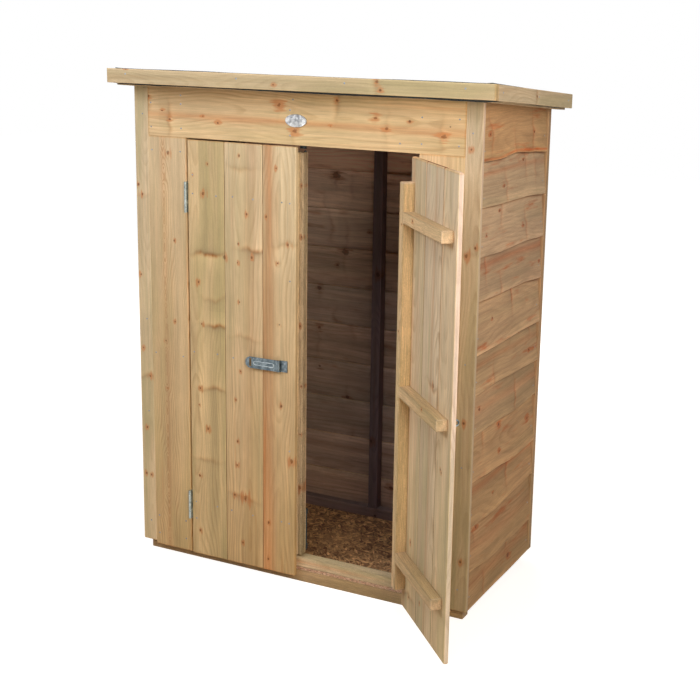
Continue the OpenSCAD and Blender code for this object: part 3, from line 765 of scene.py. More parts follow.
# Their tones, in the same order
RIGHT_TONES = [
    (0.8, 0.72, 0.58), (0.85, 0.75, 0.62), (0.92, 0.81, 0.68), (0.93, 0.84, 0.72),
    (0.89, 0.83, 0.77), (0.92, 0.88, 0.81), (0.97, 0.93, 0.89), (0.93, 0.9, 0.92),
    (0.97, 0.98, 1.03), (0.92, 0.95, 0.98), (1.01, 0.89, 0.73),
]
RIGHT_KNOTS = [
    (-178, 1210, 5), (60, 1130, 4), (-79, 1079, 5), (-90, 1021, 4), (66, 965, 4), (-181, 973, 4),
    (166, 425, 6), (-37, 465, 5), (-72, 291, 4), (17, 145, 9), (60, 72, 8), (-170, 233, 7),
    (200, 850, 4), (-120, 760, 4), (80, 690, 5), (150, 620, 4), (-40, 395, 4), (120, 1195, 4),
]
RIGHT_BANDS = {10: (5, 3.5, 0.9), 7: (86, 10, 0.6), 2: (92, 10, 0.6), 1: (58, 10, 0.3),
               5: (70, 8, 0.4)}
RIGHT_WHORLS = [
    (112, 1190, 0.7), (-168, 1208, 0.6), (-11, 1160, -0.4), (78, 1127, 0.5), (-62, 1072, 0.5),
    (139, 1109, -0.4), (-76, 1016, 0.5), (85, 962, 0.6), (-169, 905, 0.7), (10, 800, 1.0),
    (-74, 820, 0.6), (150, 700, 0.6), (-100, 600, -0.5), (60, 520, 0.7), (-150, 470, 0.6),
    (20, 330, 0.8), (-190, 240, 0.6), (40, 140, 1.0), (-120, 60, 0.5),
]
INNER_PAINTED_LIGHT = [1.0, 0.84, 0.8, 0.8, 0.78, 0.82, 0.92, 1.1, 1.45, 1.75, 1.6]  # painted light and shade of the back wall's inner faces, by course, lowest first: paler towards the top
BACK_WHORLS = [
    (-128, 1035, 0.6), (-80, 994, -0.3), (-149, 888, 0.5), (-99, 863, 0.4), (-175, 929, -0.4),
    (-99, 785, 0.3), (-180, 695, 0.3), (-133, 611, -0.4), (-73, 589, 0.3), (-185, 529, 0.3),
    (-90, 382, 0.3), (-67, 259, 0.3), (200, 1040, 0.5), (330, 800, 0.6), (-350, 620, 0.5),
    (150, 500, -0.5), (380, 420, 0.5), (-300, 300, 0.5), (300, 180, 0.4),
]
BACK_KNOTS = [
    (-131, 1032, 12), (-183, 701, 7), (-126, 773, 5), (-98, 814, 11), (-182, 583, 6),
    (-181, 466, 5), (-90, 382, 6), (-67, 259, 7), (-240, 940, 6), (240, 1100, 8), (330, 800, 9),
    (-350, 620, 9), (150, 500, 7), (380, 420, 8), (-300, 300, 8), (60, 130, 8), (-420, 1090, 6),
    (300, 180, 7), (-60, 1180, 8), (420, 970, 7),
]
INNER_GREY_AND_SHADE = (1.04, 1.07, 1.38)  # the boards' inner faces are greyer than the treated outer ones, and bluer still with a painted cool cast of shade


def cladding(node, kind, start, length, low_h, high_h, place_wall, edges, knots, seed, tones=(),
             bands=(), whorls=(), inner=None):
    """A wall of lapped boards that lean in from their lower edges. place_wall maps (along, in to
    out, height) to the row frame; tones, bands and inner (painted light and shade of the inner
    faces) go by course; knots and whorls are (along, height, radius or strength) in mm."""
    boards = Boards(f"{node}_boards", seed)
    rng = boards.rng
    board_h = COURSE + LAP
    for i, offsets in enumerate(edges):
        low = SIDE_SKIRT + i * COURSE
        last = i == len(edges) - 1
        height = high_h - low if last else board_h
        leaning = low_h - low if last else board_h
        top_lean = LEAN * min(1, leaning / board_h)

        def place(local):
            back = top_lean * np.clip(local[:, 1] / leaning, -0.2, 1)
            return place_wall(local[:, 0] + start, LEAN - back + local[:, 2], local[:, 1] + low)

        def on_board(spots):
            return [(a * MM - start, z * MM - low, value) for a, z, value in spots
                    if low + 6 * MM < z * MM < low + COURSE + 6 * MM]

        mine = [(u, v, CLAD_KNOT_CORE * r * MM) for u, v, r in on_board(knots)]
        shade, hue = rng.uniform(0.9, 1.07), rng.uniform(-0.05, 0.05)
        tone = tones[i] if i < len(tones) else (shade * (1 + hue), shade, shade * (1 - hue))
        above = None if last else edge_curve(edges[i + 1], length)
        # The 26 mm margin paints a highlight along each board's lower edge, lap paints the shadow
        # under the board above, and the inner faces carry painted light and shade
        boards.add(
            (length, height, CLAD_T), place, mine, tone=tone,
            warm=rng.uniform(0.3, 0.9), arris=1.6 * MM, lower=edge_curve(offsets, length),
            wobble=0.5 * MM, step=14 * MM, stray=3.0, margin=26 * MM,
            lap=None if last else lambda t: COURSE - 1 * MM + above(t),
            sides=(np.multiply(INNER_GREY_AND_SHADE, inner[i] if inner else 1), 1, 1, 1),
            band=in_metres(dict(bands).get(i)), whorls=on_board(whorls) or None,
        )
    boards.build("shed", kind, node)


def waney(rng, count, size=9.0):
    """Offsets of one lower edge, in mm: it drops a little more than it rises."""
    return tuple(rng.uniform(-1.3, 0.8) * size for _ in range(count))


def walls():
    low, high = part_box("right_wall_cladding")
    inner = low.x
    length = high.y - low.y
    rise, fall = roof_z(low.y), roof_z(high.y)
    back_low, back_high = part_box("back_wall_cladding")

    def under_roof(x, y, z):
        return np.stack([x, y, np.minimum(z, roof_z(y) - 0.1 * MM)], 1)

    def right(along, out, z):
        return under_roof(inner + out, along, z)

    def left(along, out, z):
        return under_roof(-inner - out, along, z)

    def back(along, out, z):
        return under_roof(along, back_low.y + out, z)

    cladding("right_wall_cladding", "clad", low.y, length, fall, rise, right, RIGHT_EDGES,
             RIGHT_KNOTS, 3, RIGHT_TONES, RIGHT_BANDS, RIGHT_WHORLS)
    rng = random.Random(41)
    edges = [(0, 0, 0)] + [waney(rng, 4, 7.0) for _ in range(10)]
    cladding("left_wall_cladding", "clad", low.y, length, fall, rise, left, edges, (), 5)
    edges = [(0, 0, 0)] + [waney(rng, 7, 6.0) for _ in range(10)]
    cladding("back_wall_cladding", "back", back_low.x, back_high.x - back_low.x,
             roof_z(back_high.y), roof_z(back_low.y), back, edges, BACK_KNOTS, 7,
             whorls=BACK_WHORLS, inner=INNER_PAINTED_LIGHT)


# ---------------------------------------------------------------- front, doors and framing

HEADER_KNOTS = [
    (-402, 1227, 4), (-380, 1206, 5), (-276, 1219, 3), (-232, 1204, 4), (-51, 1257, 9),
    (109, 1275, 5), (214, 1238, 7), (93, 1213, 2.5), (-8, 1196, 8), (243, 1215, 6),
    (304, 1235, 4), (391, 1204, 8), (408, 1228, 3), (-447, 1262, 5),
]
FIXED_KNOTS = [(-387, 1118, 7), (-371, 889, 3), (-373, 669, 3), (-404, 613, 4), (-401, 480, 2.5)]
LEFT_DOOR_KNOTS = [
    (-264, 1097, 3.5), (-279, 1019, 6), (-311, 1067, 2.5), (-214, 860, 6), (-296, 785, 4),
    (-288, 673, 4), (-295, 495, 4), (-299, 449, 3), (-271, 385, 5), (-300, 248, 6), (-301, 87, 5),
    (-168, 1125, 3.5), (-147, 977, 4.5), (-173, 899, 3), (-132, 866, 5), (-175, 849, 3),
    (-170, 746, 3), (-167, 560, 3), (-182, 480, 4), (-178, 365, 4), (-180, 299, 4),
    (-154, 208, 8), (-188, 212, 5), (-163, 80, 4), (-89, 976, 3.5), (-25, 909, 5), (-55, 860, 4),
    (-44, 484, 4.5), (-12, 337, 7), (-82, 155, 4), (-83, 50, 4.5), (-50, 700, 3), (-60, 1100, 3),
]
STRIP_KNOTS = [(-483, 1030, 4), (-471, 1004, 5), (-481, 787, 3.5), (-479, 583, 4), (-458, 506, 5),
               (-472, 357, 4), (-478, 222, 4), (-461, 220, 4)]
RIGHT_STRIP_KNOTS = [(462, 1178, 4), (458, 928, 6), (480, 950, 4), (467, 520, 4), (470, 160, 5)]
FASCIA_KNOTS = [(-477, 1328, 4), (241, 1322, 6), (-37, 1304, 4), (251, 1303, 4)]
LEFT_DOOR_WHORLS = [
    (-262, 863, -1.5), (-250, 749, 0.4), (-235, 675, 1.2), (-250, 498, 0.8), (-275, 300, 0.5),
    (-122, 885, 1.1), (-165, 1095, -0.4), (-150, 650, 0.4), (-160, 210, 0.7), (-30, 905, -0.4),
]
DOOR_PAINTED_LIGHT_FADES = [(1.06, 1.09, 1.2), (1.22, 1.4, 1.82), (1.1, 1.35, 1.82)]  # painted light: paler and bluer towards the top, as the light falls off downwards
# The open door's boards get the same painted light, paler and bluer towards the top
RIGHT_DOOR_PAINTED_LIGHT_FADE = (1.08, 1.13, 1.3)
OPEN_GAPS = [(0, 1), (1, 1), (1, 0)]  # dirt and painted shade on the edges of a door's three boards
LEDGE_TONES = [(0.9, 0.84, 0.74), (1.02, 0.96, 0.86), (1.12, 1.06, 0.96)]  # lowest first
STILE_KNOTS = [(3, 262, 4.5), (4, 930, 2), (2, 700, 2.2), (6, 540, 1.8), (3, 410, 2),
               (4, 1060, 1.8)]


def front():
    """Header, fixed boards, corner strips and fascias."""
    timber("header_board", "front", knots=HEADER_KNOTS, tones=[(0.99, 0.96, 0.88)],
           warms=[0.6], bands=[(54, 9, 0.55)], piths=[(70, -30)])
    # Its fade paints light on the fixed board: paler and bluer towards the top
    timber("left_front_board", "flame", knots=FIXED_KNOTS, whorls=(),
           tones=[(0.875, 0.8, 0.64)], warms=[0.5], joints=[(0.7, 0)], bands=[(46, 9, 0.25)],
           piths=[(44, -3)], painted_light_fades=[(1.08, 1.2, 1.5)])
    timber("right_front_board", "front", tones=[(1.0, 0.98, 0.96)], joints=[(0, 0.7)])
    # The strip's fade paints light too: paler and bluer towards the top
    timber("left_corner_strip", "trim", knots=STRIP_KNOTS, tones=[(1.0, 1.0, 0.97)],
           warms=[0.25], bands=[(12, 20, -0.4)], painted_light_fades=[(1.02, 1.06, 1.18)])
    # Painted shadow of the open door: the strip is darker all over and paler towards its top, above
    # the door's shade, and its side face is painted lighter
    timber("right_corner_strip", "trim", knots=RIGHT_STRIP_KNOTS, tones=[(0.66, 0.67, 0.65)],
           warms=[0.35], sides=[(1, (1.2, 1.16, 1.3), 1, 1)], bands=[(14, 20, -0.12)],
           painted_light_fades=[(1.26, 1.3, 1.5)])
    timber("front_fascia", "trim", grain="x", out="y", knots=FASCIA_KNOTS,
           tones=[(0.88, 0.91, 0.92)], warms=[0.2], bands=[(18, 14, -0.5)])
    timber("left_fascia", "trim", grain="y", out="x")
    timber("right_fascia", "trim", grain="y", out="x", tones=[(0.79, 0.83, 0.9)], warms=[0.2])


def doors():
    timber("left_door_boards", "front", "left_door", knots=LEFT_DOOR_KNOTS,
           whorls=LEFT_DOOR_WHORLS, painted_light_fades=DOOR_PAINTED_LIGHT_FADES, shorter=(-2, -2, -2),
           tones=[(0.865, 0.83, 0.69), (0.81, 0.73, 0.58), (0.865, 0.75, 0.57)],
           warms=[0.2, 0.45, 0.8], tongue=1, joints=OPEN_GAPS, arris=1.6 * MM,
           bands=[(80, 26, -0.5), (74, 18, 0.2), (14, 18, 0.7)],
           piths=[(20, -14), (70, -30), (50, -22)])
    # The open door's free edge is painted brighter and bluer, less so towards its top: a painted
    # highlight
    timber("right_door_boards", "front", "right_door", matrix=OPEN_DOOR,
           tones=[(0.97, 0.98, 0.92), (0.95, 0.98, 0.97), (0.97, 0.98, 0.94)],
           painted_light_fades=[[RIGHT_DOOR_PAINTED_LIGHT_FADE] * 3 + [(0.75, 0.74, 0.8)], RIGHT_DOOR_PAINTED_LIGHT_FADE, RIGHT_DOOR_PAINTED_LIGHT_FADE],
           warms=[0.3, 0.15, 0.4], tongue=-1, joints=[(0, 1.6), (1.6, 1.6), (1.6, 0)],
           arris=2.3 * MM, sides=[(1, 1, 1, (1.3, 1.38, 1.92))])
    meeting_stile()
    stile_tones = [(1.12, 1.08, 0.98)]
    for side, matrix, ledge_tones in (("left", None, stile_tones),
                                      ("right", OPEN_DOOR, LEDGE_TONES)):
        shared = dict(body=f"{side}_door", matrix=matrix, arris=1.4 * MM, out="y")
        timber(f"{side}_hinge_stile", "frame", grain="z", tones=stile_tones, **shared)
        timber(f"{side}_door_ledges", "frame", grain="x", tones=ledge_tones,
               sides=[(1, 0.72, 1, 1)] * 3, **shared)


def meeting_stile():
    """The stile that the right door closes against: a batten and, beside its rebate, a thinner
    rough strip that shows in the doorway."""
    low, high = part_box("meeting_stile")
    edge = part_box("left_door_boards")[1].x
    rebate = 5 * MM
    painted_edge_highlight = (1,) * 8 + (1.9,) * 2 + (1,) * 10  # a painted highlight on the strip's high edge, where it meets the face
    stile = Boards("meeting_stile_wood")
    for x0, x1, y0, tone, knots, sides in (
        (low.x, edge, low.y, (0.9, 0.9, 0.9), (), (1, 1, 1, 1)),
        # The rough strip is darker: dirt of its sawn face and painted shade in the rebate
        (edge, high.x, low.y + rebate, (0.58, 0.57, 0.58), STILE_KNOTS, painted_edge_highlight),
    ):
        def place(local):
            return np.stack([x0 + local[:, 1], y0 + local[:, 2], low.z + local[:, 0]], 1)

        mine = [(z * MM - low.z, x * MM - x0, r * MM) for x, z, r in knots]
        stile.add((high.z - low.z, x1 - x0, high.y - y0), place, mine, tone=tone, warm=0.3,
                  sides=sides, whorls=(), margin=6 * MM)
    stile.build("left_door", "rough", "meeting_stile")


def framing():
    """Posts, rails and battens. Those at the back of the shed are painted darker and cooler, as the
    shade inside the shed, and the rails behind the header and the floor bearers darker, as dirt and
    painted shade.
    """
    # Rails behind the header and the floor bearers are darker: dirt and painted shade
    shaded_rail_tones = [(0.7, 0.62, 0.53)] * 3
    for node, tones, shorter in (("sill_rail", [(0.98, 0.99, 1.0)], ()),
                                 ("header_rail", shaded_rail_tones, ()),
                                 ("front_top_rail", shaded_rail_tones, ()),
                                 ("floor_bearers", shaded_rail_tones, (0, 9, 9))):
        timber(node, "frame", grain="x", out="y", tones=tones, shorter=shorter)
    timber("back_corner_strips", "clad", slot="trim_boards", grain="z", out="y",
           tones=[(0.86, 0.82, 0.76)] * 2)
    for node, kind in (("front_corner_posts", "frame"), ("door_posts", "frame"),
                       ("back_corner_posts", "inside"), ("back_wall_stud", "inside")):
        timber(node, kind, grain="z", out="y")
    timber("back_wall_rails", "inside", grain="x", out="y", tones=[(1.5, 1.45, 1.3), (1, 1, 1)])
    for side in ("left", "right"):
        timber(f"{side}_wall_rails", "inside", grain="y", out="x")
    timber("roof_battens", "frame", out="z")


# ---------------------------------------------------------------- roof


def loft(rings, inward=False):
    """Quads between each ring of point numbers and the next; inward turns them over."""
    quads = []
    for a, b in zip(rings, rings[1:]):
        for k in range(len(a)):
            j = (k + 1) % len(a)
            quads.append([a[k], b[k], b[j], a[j]] if inward else [a[k], a[j], b[j], b[k]])
    return quads


def circle(count):
    """Cosines and sines of evenly spread turns."""
    turns = [2 * math.pi * k / count for k in range(count)]
    return [(math.cos(a), math.sin(a)) for a in turns]


def roof_sheet(material):
    """The felt: a sheet over the deck that rises and dips a little, turned down all round with
    uneven lower edges. Its heights are above the deck's lower face."""
    low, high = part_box("roof_felt")
    rng = random.Random(17)
    top = DECK_T + FELT_T
    fascia_low = top - 36.5 * MM
    back_low = top - 26 * MM
    across, deep = 84, 44
    lift = [wave(rng, 0.8 * MM, (0.8, 0.31, 0.13)) for _ in range(3)]

    def sheet_z(x, y):
        inner = min(1.0, min(x - low.x, high.x - x, y - low.y, high.y - y) / (25 * MM))
        fold = (max(0.0, 1 - (high.x - abs(x)) / (30 * MM))
                * max(0.0, 1 - (y - low.y) / (460 * MM)))
        front_roll = math.exp(-(y - low.y) / (40 * MM)) * (1.5 * MM + lift[2](x))
        waves = lift[0](x + 0.4 * y) + lift[1](y * 1.4 - 0.3 * x) - 0.6 * MM
        return top - 0.15 * MM + inner * max(-1.4 * MM, waves) + max(3.0 * MM * fold, front_roll)

    def skirt_z(x, y):
        """The front edge hangs lower to the right; the side edges barely show."""
        side_drop = 1.4 * MM
        front_drop = (4.9 + 1.2 * x / high.x) * MM
        fade = math.exp(-(y - low.y) / (60 * MM))
        return fascia_low - side_drop - (front_drop - side_drop) * fade

    points = []
    for j in range(deep + 1):
        for i in range(across + 1):
            x = low.x + (high.x - low.x) * i / across
            y = low.y + (high.y - low.y) * j / deep
            points.append((x, y, roof_z(y) + sheet_z(x, y)))
    row = across + 1
    faces = [[j * row + i, j * row + i + 1, (j + 1) * row + i + 1, (j + 1) * row + i]
             for j in range(deep) for i in range(across)]
    border = ([(i, 0) for i in range(across)] + [(across, j) for j in range(deep)]
              + [(i, deep) for i in range(across, 0, -1)] + [(0, j) for j in range(deep, 0, -1)])
    ragged = wave(rng, 0.8 * MM, (0.41, 0.13, 0.05))
    rings = [[j * row + i for i, j in border]]
    # Down the outer face, under the lower edge and a little way up inside
    for inward, part in ((0.0, 1.0), (1.0, 1.0), (1.0, 0.12)):
        start = len(points)
        for n, (i, j) in enumerate(border):
            x, y, z_edge = points[rings[0][n]]
            bottom = (back_low if j == deep else skirt_z(x, y)) + ragged(n * 12 * MM)
            px = x - math.copysign(FELT_T * inward, x) if i in (0, across) else x
            py = y + FELT_T * inward if j == 0 else y - FELT_T * inward if j == deep else y
            points.append((px, py, z_edge + (bottom - top) * part))
        rings.append(list(range(start, len(points))))
    mesh = plain_mesh("roof_felt_sheet", points, faces + loft(rings, inward=True))
    finish_piece("roof_felt_sheet", mesh, "shed", material, ["roof_felt"], 50)


# ---------------------------------------------------------------- fixings


class Fixings:
    """Nail and screw heads of one body, as one mesh. out is the way that a head faces."""

    def __init__(self, name):
        self.name = name
        self.points, self.faces = [], []

    def outline(self, centre, out, spots, height):
        """Points at flat spots round a centre, that high off the surface."""
        side = out.orthogonal().normalized()
        up = out.cross(side)
        first = len(self.points)
        self.points += [centre + side * a + up * b + out * height for a, b in spots]
        return list(range(first, len(self.points)))

    def ring(self, centre, out, radius, height, count=10):
        spots = [(radius * c, radius * s) for c, s in circle(count)]
        return self.outline(centre, out, spots, height)

    def nail(self, centre, out, diameter, proud=0.35 * MM):
        """A flat round head with a bevelled rim and a slight dish."""
        r = diameter / 2
        steps = ((r, -0.3 * MM), (r, 0.5 * proud), (0.8 * r, proud), (0.35 * r, 0.8 * proud))
        rings = [self.ring(centre, out, radius, height) for radius, height in steps]
        self.faces += loft(rings) + [rings[-1]]

    def screw(self, centre, out, diameter, proud, turn):
        """A countersunk head with a cross recess."""
        r = diameter / 2
        rim = self.ring(centre, out, r, -0.2 * MM, 16)
        top = self.ring(centre, out, 0.92 * r, proud, 16)
        arm, half, recess = 0.52 * r, 0.13 * r, 0.55 * MM
        turns = [turn + quarter * math.pi / 2 for quarter in range(4)]
        plan = [(a * math.cos(t) - b * math.sin(t), a * math.sin(t) + b * math.cos(t))
                for t in turns for a, b in ((arm, -half), (arm, half), (half, half))]
        cross = self.outline(centre, out, plan, proud)
        floor = self.outline(centre, out, plan, proud - recess)
        self.faces += loft([rim, top]) + loft([cross, floor], inward=True) + [floor]
        side = out.orthogonal().normalized()
        up = out.cross(side)
        flat = [[Vector(((self.points[i] - centre) @ side, (self.points[i] - centre) @ up, 0))
                 for i in loop] for loop in (top, cross)]
        for tri in tessellate_polygon(flat):
            corners = [(top + cross)[i] for i in tri]
            a, b, c = (self.points[i] for i in corners)
            facing = (b - a).cross(c - a) @ out
            self.faces.append(corners if facing > 0 else corners[::-1])

    def move(self, matrix):
        self.points = [matrix @ p for p in self.points]

    def build(self, body, material):
        mesh = plain_mesh(self.name, self.points, self.faces)
        finish_piece(self.name, mesh, body, material, (), 30)


def front_nails(fix, spots):
    for x, z in spots:
        fix.nail(Vector((x * MM, FRONT_Y, z * MM)), FORWARD, 4.2 * MM)


def wall_nails(fix):
    """Each overlap board is nailed to the corner posts, and at the back to the stud too."""
    rng = random.Random(5)
    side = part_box("right_wall_cladding")[0].x
    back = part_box("back_wall_cladding")[0].y
    above_edge = 32 * MM
    out = LEAN * (1 - above_edge / (COURSE + LAP)) + CLAD_T
    lean = 0.09

    def near(along, z):
        return along + rng.uniform(-3, 3) * MM, z + rng.uniform(-4, 4) * MM

    for i in range(len(RIGHT_EDGES)):
        z = SIDE_SKIRT + i * COURSE + above_edge
        for y in (-212 * MM, 196 * MM):
            for sign in (1, -1):
                spot = Vector((sign * (side + out), *near(y, z)))
                fix.nail(spot, Vector((sign, 0, lean)).normalized(), 3.6 * MM)
        for post in (-452 * MM, 16 * MM, 452 * MM):
            x, height = near(post, z)
            spot = Vector((x, back + out, height))
            fix.nail(spot, Vector((0, 1, lean)).normalized(), 3.6 * MM)


DOOR_NAILS = [
    (-311, 1018), (-239, 1017), (-189, 1019), (-128, 1017), (-43, 1016), (-20, 1015),
    (-313, 594), (-239, 597), (-190, 594), (-131, 596), (-19, 817), (-19, 365), (-313, 170),
    (-244, 168), (-198, 167), (-131, 165), (-42, 165), (-19, 164), (-312, 122), (-311, 1067),
]


def nails(metal):
    shed = Fixings("shed_nails")
    corner = [(sx * 465, z) for sx in (-1, 1) for z in (1216, 666, 406, 86)]
    fixed = [(sx * x, z) for sx in (-1, 1) for x in (437, 348) for z in (1124, 576, 106, 54)]
    header = [(x, z) for x in (-438, -344, -20, 336, 431) for z in (1184, 1246)]
    header += [(-344, 1268), (-12, 1272), (280, 1182)]
    front_nails(shed, corner + fixed + header)
    fascia = 4.6 * MM
    overhang = 52 * MM
    for x in (-478, -143, 157, 464):
        z = 1315 * MM + ROOF_SLOPE * overhang
        shed.nail(Vector((x * MM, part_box("front_fascia")[0].y, z)), FORWARD, fascia)
    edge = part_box("right_fascia")[1].x
    for sign in (-1, 1):
        for y in (-240 * MM, 0, 225 * MM):
            spot = Vector((sign * edge, y, roof_z(y) - 6 * MM))
            shed.nail(spot, Vector((sign, 0, 0)), fascia)
    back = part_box("roof_felt")[1].y
    for k in range(11):
        spot = Vector(((-480 + 96 * k) * MM, back, roof_z(back) + 4 * MM))
        shed.nail(spot, BACKWARD, 8 * MM, 0.9 * MM)
    wall_nails(shed)
    shed.build("shed", metal)

    left = Fixings("left_door_nails")
    front_nails(left, DOOR_NAILS)
    left.build("left_door", metal)

    right = Fixings("right_door_nails")
    front_nails(right, [(-x, z) for x, z in DOOR_NAILS])
    right.move(OPEN_DOOR)
    right.build("right_door", metal)


def hinge_screws(metal):
    """Three screws in each leaf, on the faces that show when a door is open."""
    pin = abs(RIGHT_PIN.x)
    jamb, edge = pin + 0.5 * MM, pin - 4.5 * MM  # the two faces that the leaves lie on
    depth = FRONT_Y + 17 * MM
    for side, matrix, body in ((1, OPEN_DOOR, "right_door"), (-1, None, "left_door")):
        post, leaf = Fixings(f"hinge_screws_post_{body}"), Fixings(f"hinge_screws_{body}")
        for middle in (160, 1008):
            for dz, dy in ((-27, -3), (0, 3), (27, -3)):
                y, z = depth + dy * MM, (middle + dz) * MM
                for screws, x, sign, turn in ((post, jamb - PLATE_T, -side, dz),
                                              (leaf, edge + PLATE_T, side, dz + 1)):
                    screws.screw(Vector((side * x, y, z)), Vector((sign, 0, 0)), 6.5 * MM,
                                 0.35 * MM, turn)
        if matrix is not None:
            leaf.move(matrix)
        post.build("shed", metal)
        leaf.build(body, metal)


def hardware_screws(metal):
    """Screws of the hasp leaf, the bolts' back plates and the staple plate."""
    low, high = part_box("hasp_leaf")
    face = FRONT_Y - 2 * MM
    left = Fixings("hasp_screws")
    for dz in (8, 22):
        spot = Vector((high.x - 7 * MM, face, low.z + dz * MM))
        left.screw(spot, FORWARD, 6 * MM, 0.5 * MM, dz)
    small = (4.6 * MM, 0.4 * MM)
    low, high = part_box("bolt_barrels")
    half_plate = 8 * MM
    for middle, heights in ((high.x - half_plate, (120, 160)), (low.x + half_plate, (1055, 1095))):
        for z in heights:
            for dx in (-5.6, 5.6):
                spot = Vector((middle + dx * MM, low.y + PLATE_T, z * MM))
                left.screw(spot, BACKWARD, *small, z + dx)
    left.build("left_door", metal)
    staple = Fixings("staple_screws")
    for dx, dz in ((-6, -14), (6, -14), (-6, 14), (6, 14)):
        staple.screw(Vector(((37 + dx) * MM, face, (592 + dz) * MM)), FORWARD, *small, dz)
    staple.move(OPEN_DOOR)
    staple.build("right_door", metal)


# ---------------------------------------------------------------- hardware


def badge(material):
    """A plain oval plate: a rolled rim round a hammered, slightly domed field."""
    low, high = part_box("badge_plate")
    centre, half = (low + high) / 2, (high - low) / 2
    profile = [(1.0, 0.0), (1.0, 1.5), (0.975, 2.3), (0.945, 2.6), (0.915, 2.3), (0.89, 1.5),
               (0.8, 1.55), (0.55, 1.95), (0.25, 2.15)]  # share of the width, height in mm
    count = 64
    points, rings = [], []
    for share, height in profile:
        rings.append(list(range(len(points), len(points) + count)))
        for c, s in circle(count):
            points.append((centre.x + half.x * share * c, high.y - height * MM,
                           centre.z + half.z * share * s))
    mesh = plain_mesh("badge", points, loft(rings) + [rings[-1]])
    finish_piece("badge", mesh, "shed", material, ["badge_plate"], 60)


def strap_bead(metal):
    """The rolled edge of the rib pressed into the hasp's strap: one round bead, closed on
    itself, that runs round two half circles."""
    low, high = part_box("hasp_strap")
    face = low.y + 1.5 * MM  # the knuckle stands that much in front of the rib
    middle = (low.z + high.z) / 2
    near, far = low.x + 31 * MM, high.x - 21.7 * MM
    turns, count, radius, bead = 14, 8, 5 * MM, 0.7 * MM
    points, rings = [], []
    for x, start in ((far, -90), (near, 90)):
        for k in range(turns + 1):
            a = math.radians(start + 180 * k / turns)
            rings.append(list(range(len(points), len(points) + count)))
            for c, s in circle(count):
                r = radius + bead * c
                points.append((x + r * math.cos(a), face + bead * s, middle + r * math.sin(a)))
    mesh = plain_mesh("strap_bead", points, loft(rings + rings[:1], inward=True))
    finish_piece("strap_bead", mesh, "hasp_strap", metal, (), 60)


def paint(node, material):
    mesh = frame["nodes"][node].data
    mesh.materials.clear()
    mesh.materials.append(material)


def hardware(metal, bright):
    """The hinges, hasp, staple and bolts keep their CAD shapes and get worn zinc."""
    for node in ("hasp_leaf", "hasp_strap", "hasp_staple", "bolt_barrels", "bolt_keeper",
                 "top_bolt", "bottom_bolt"):
        paint(node, metal)
    for side in ("left", "right"):
        for part in ("fixed", "door"):
            paint(f"{side}_{part}_hinges", bright)


# ---------------------------------------------------------------- camera, stage and light


def camera():
    """The photographer's place: to the right of the doors, a little above the roof."""
    data = bpy.data.cameras.new("camera")
    data.sensor_width, data.lens = 36.0, 67.155
    data.shift_x, data.shift_y = -0.0076, -0.0499
    cam = bpy.data.objects.new("camera", data)
    bpy.context.scene.collection.objects.link(cam)
    turn, tilt, roll = (math.radians(a) for a in (27.217, 13.180, 0.854))
    cam.location = (1.6069, -3.0322, 1.4891)
    cam.rotation_mode = "QUATERNION"
    look = Matrix.Rotation(turn, 4, "Z") @ Matrix.Rotation(math.pi / 2 - tilt, 4, "X")
    cam.rotation_quaternion = (look @ Matrix.Rotation(roll, 4, "Z")).to_quaternion()
    bpy.context.scene.camera = cam


def seen_white(nodes):
    """1 for camera, glossy and transmission rays, which see plain white, and 0 for the rest."""
    camera, glossy, through = (nodes.node("LightPath", f"Is {kind} Ray")
                               for kind in ("Camera", "Glossy", "Transmission"))
    return nodes.math("ADD", nodes.math("ADD", camera, glossy, clamp=True), through, clamp=True)


def surround():
    """A white surround that lights the shed only a little."""
    world = bpy.data.worlds.new("surround")
    bpy.context.scene.world = world
    sky = Nodes(world, "ShaderNodeOutputWorld")
    dim = sky.node("Background", 0, [(0, (1.0, 0.99, 0.97, 1)), (1, 0.02)])
    white = sky.node("Background", 0, [(0, (1, 1, 1, 1)), (1, 1.0)])
    both = sky.node("MixShader", 0, [(0, seen_white(sky)), (1, dim), (2, white)])
    sky.feed(sky.surface, both)


def stage():
    """A pale floor that keeps the shed's shadow and glows white towards its far edge."""
    material = bpy.data.materials.new("studio_floor")
    ground = Nodes(material)
    diffuse = ground.node("BsdfDiffuse", 0, [(0, (0.6, 0.52, 0.44, 1))])
    place = ground.node("NewGeometry", "Position")
    far = ground.node("VectorMath", "Value", [(0, place)], operation="LENGTH")
    fade = ground.node("MapRange", 0, [("Value", far), ("From Min", 0.6), ("From Max", 2.6),
                                       ("To Min", 0.78), ("To Max", 1.0)])
    glow = ground.node("Emission", 0, [("Strength", seen_white(ground) * fade)])
    ground.feed(ground.surface, ground.node("AddShader", 0, [(0, diffuse), (1, glow)]))
    reach = 9.0
    corners = [(-reach, -reach, 0), (reach, -reach, 0), (reach, reach, 0), (-reach, reach, 0)]
    mesh = plain_mesh("studio_floor", corners, [[0, 1, 2, 3]])
    mesh.materials.append(material)
    floor = bpy.data.objects.new("studio_floor", mesh)
    bpy.context.scene.collection.objects.link(floor)


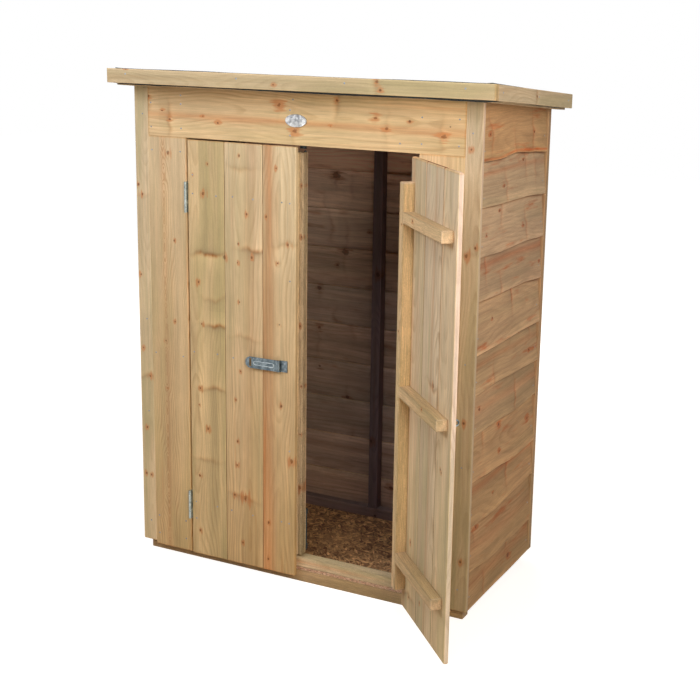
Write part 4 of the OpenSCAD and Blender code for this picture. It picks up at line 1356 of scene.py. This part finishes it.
def area_light(name, place, target, size, watts, colour=(1, 1, 1)):
    data = bpy.data.lights.new(name, "AREA")
    data.shape, data.size, data.size_y = "RECTANGLE", size[0], size[1]
    data.energy, data.color = watts, colour
    lamp = bpy.data.objects.new(name, data)
    bpy.context.scene.collection.objects.link(lamp)
    lamp.location = place
    lamp.rotation_mode = "QUATERNION"
    lamp.rotation_quaternion = (Vector(target) - Vector(place)).to_track_quat("-Z", "Y")


def lights():
    """Soft lamps round the camera, the left and upper ones a little cooler, and two behind."""
    middle = (0.0, -0.2, 0.75)
    cool, warm = (0.92, 0.97, 1.08), (1.07, 1.01, 0.89)
    area_light("left_lamp", (-1.67, -1.99, 2.5), middle, (1.2, 1.2), 41, cool)
    area_light("top_lamp", (0.3, -1.6, 3.0), middle, (1.2, 1.2), 20, cool)
    area_light("right_lamp", (1.77, -1.77, 1.5), middle, (1.0, 1.0), 28, warm)
    area_light("side_lamp", (2.27, -1.06, 2.5), middle, (1.0, 1.0), 16)
    area_light("back_lamp", (-1.3, 2.7, 2.1), (0.0, 0.0, 0.6), (1.8, 1.6), 50)
    area_light("far_lamp", (2.9, 1.9, 2.0), (0.2, 0.0, 0.6), (1.4, 1.4), 10)


# ---------------------------------------------------------------- the shed

bpy.context.scene.view_settings.view_transform = "Standard"
camera()
surround()
stage()
lights()
woods = wood_set()
front()
doors()
framing()
walls()
board = strand_board("strand_board")
for sheet in ("floor_board", "roof_deck"):
    paint(sheet, board)
roof_sheet(felt("roof_felt"))
plate = zinc("zinc_plate", srgb(78, 90, 96), srgb(138, 150, 154), 0.4)
nail_zinc = zinc("nail_zinc", srgb(110, 116, 122), srgb(190, 196, 200), 0.36, 200.0)
# The bead gets a brighter zinc than its strap: a painted highlight along the rib
strap_bead(zinc("bead_zinc_painted_highlight", srgb(150, 158, 160), srgb(216, 222, 222), 0.3, 120.0))
hardware(plate, zinc("hinge_zinc", srgb(120, 130, 126), srgb(196, 204, 198), 0.34, 120.0))
badge(badge_metal("badge_metal"))
nails(nail_zinc)
hinge_screws(nail_zinc)
hardware_screws(nail_zinc)
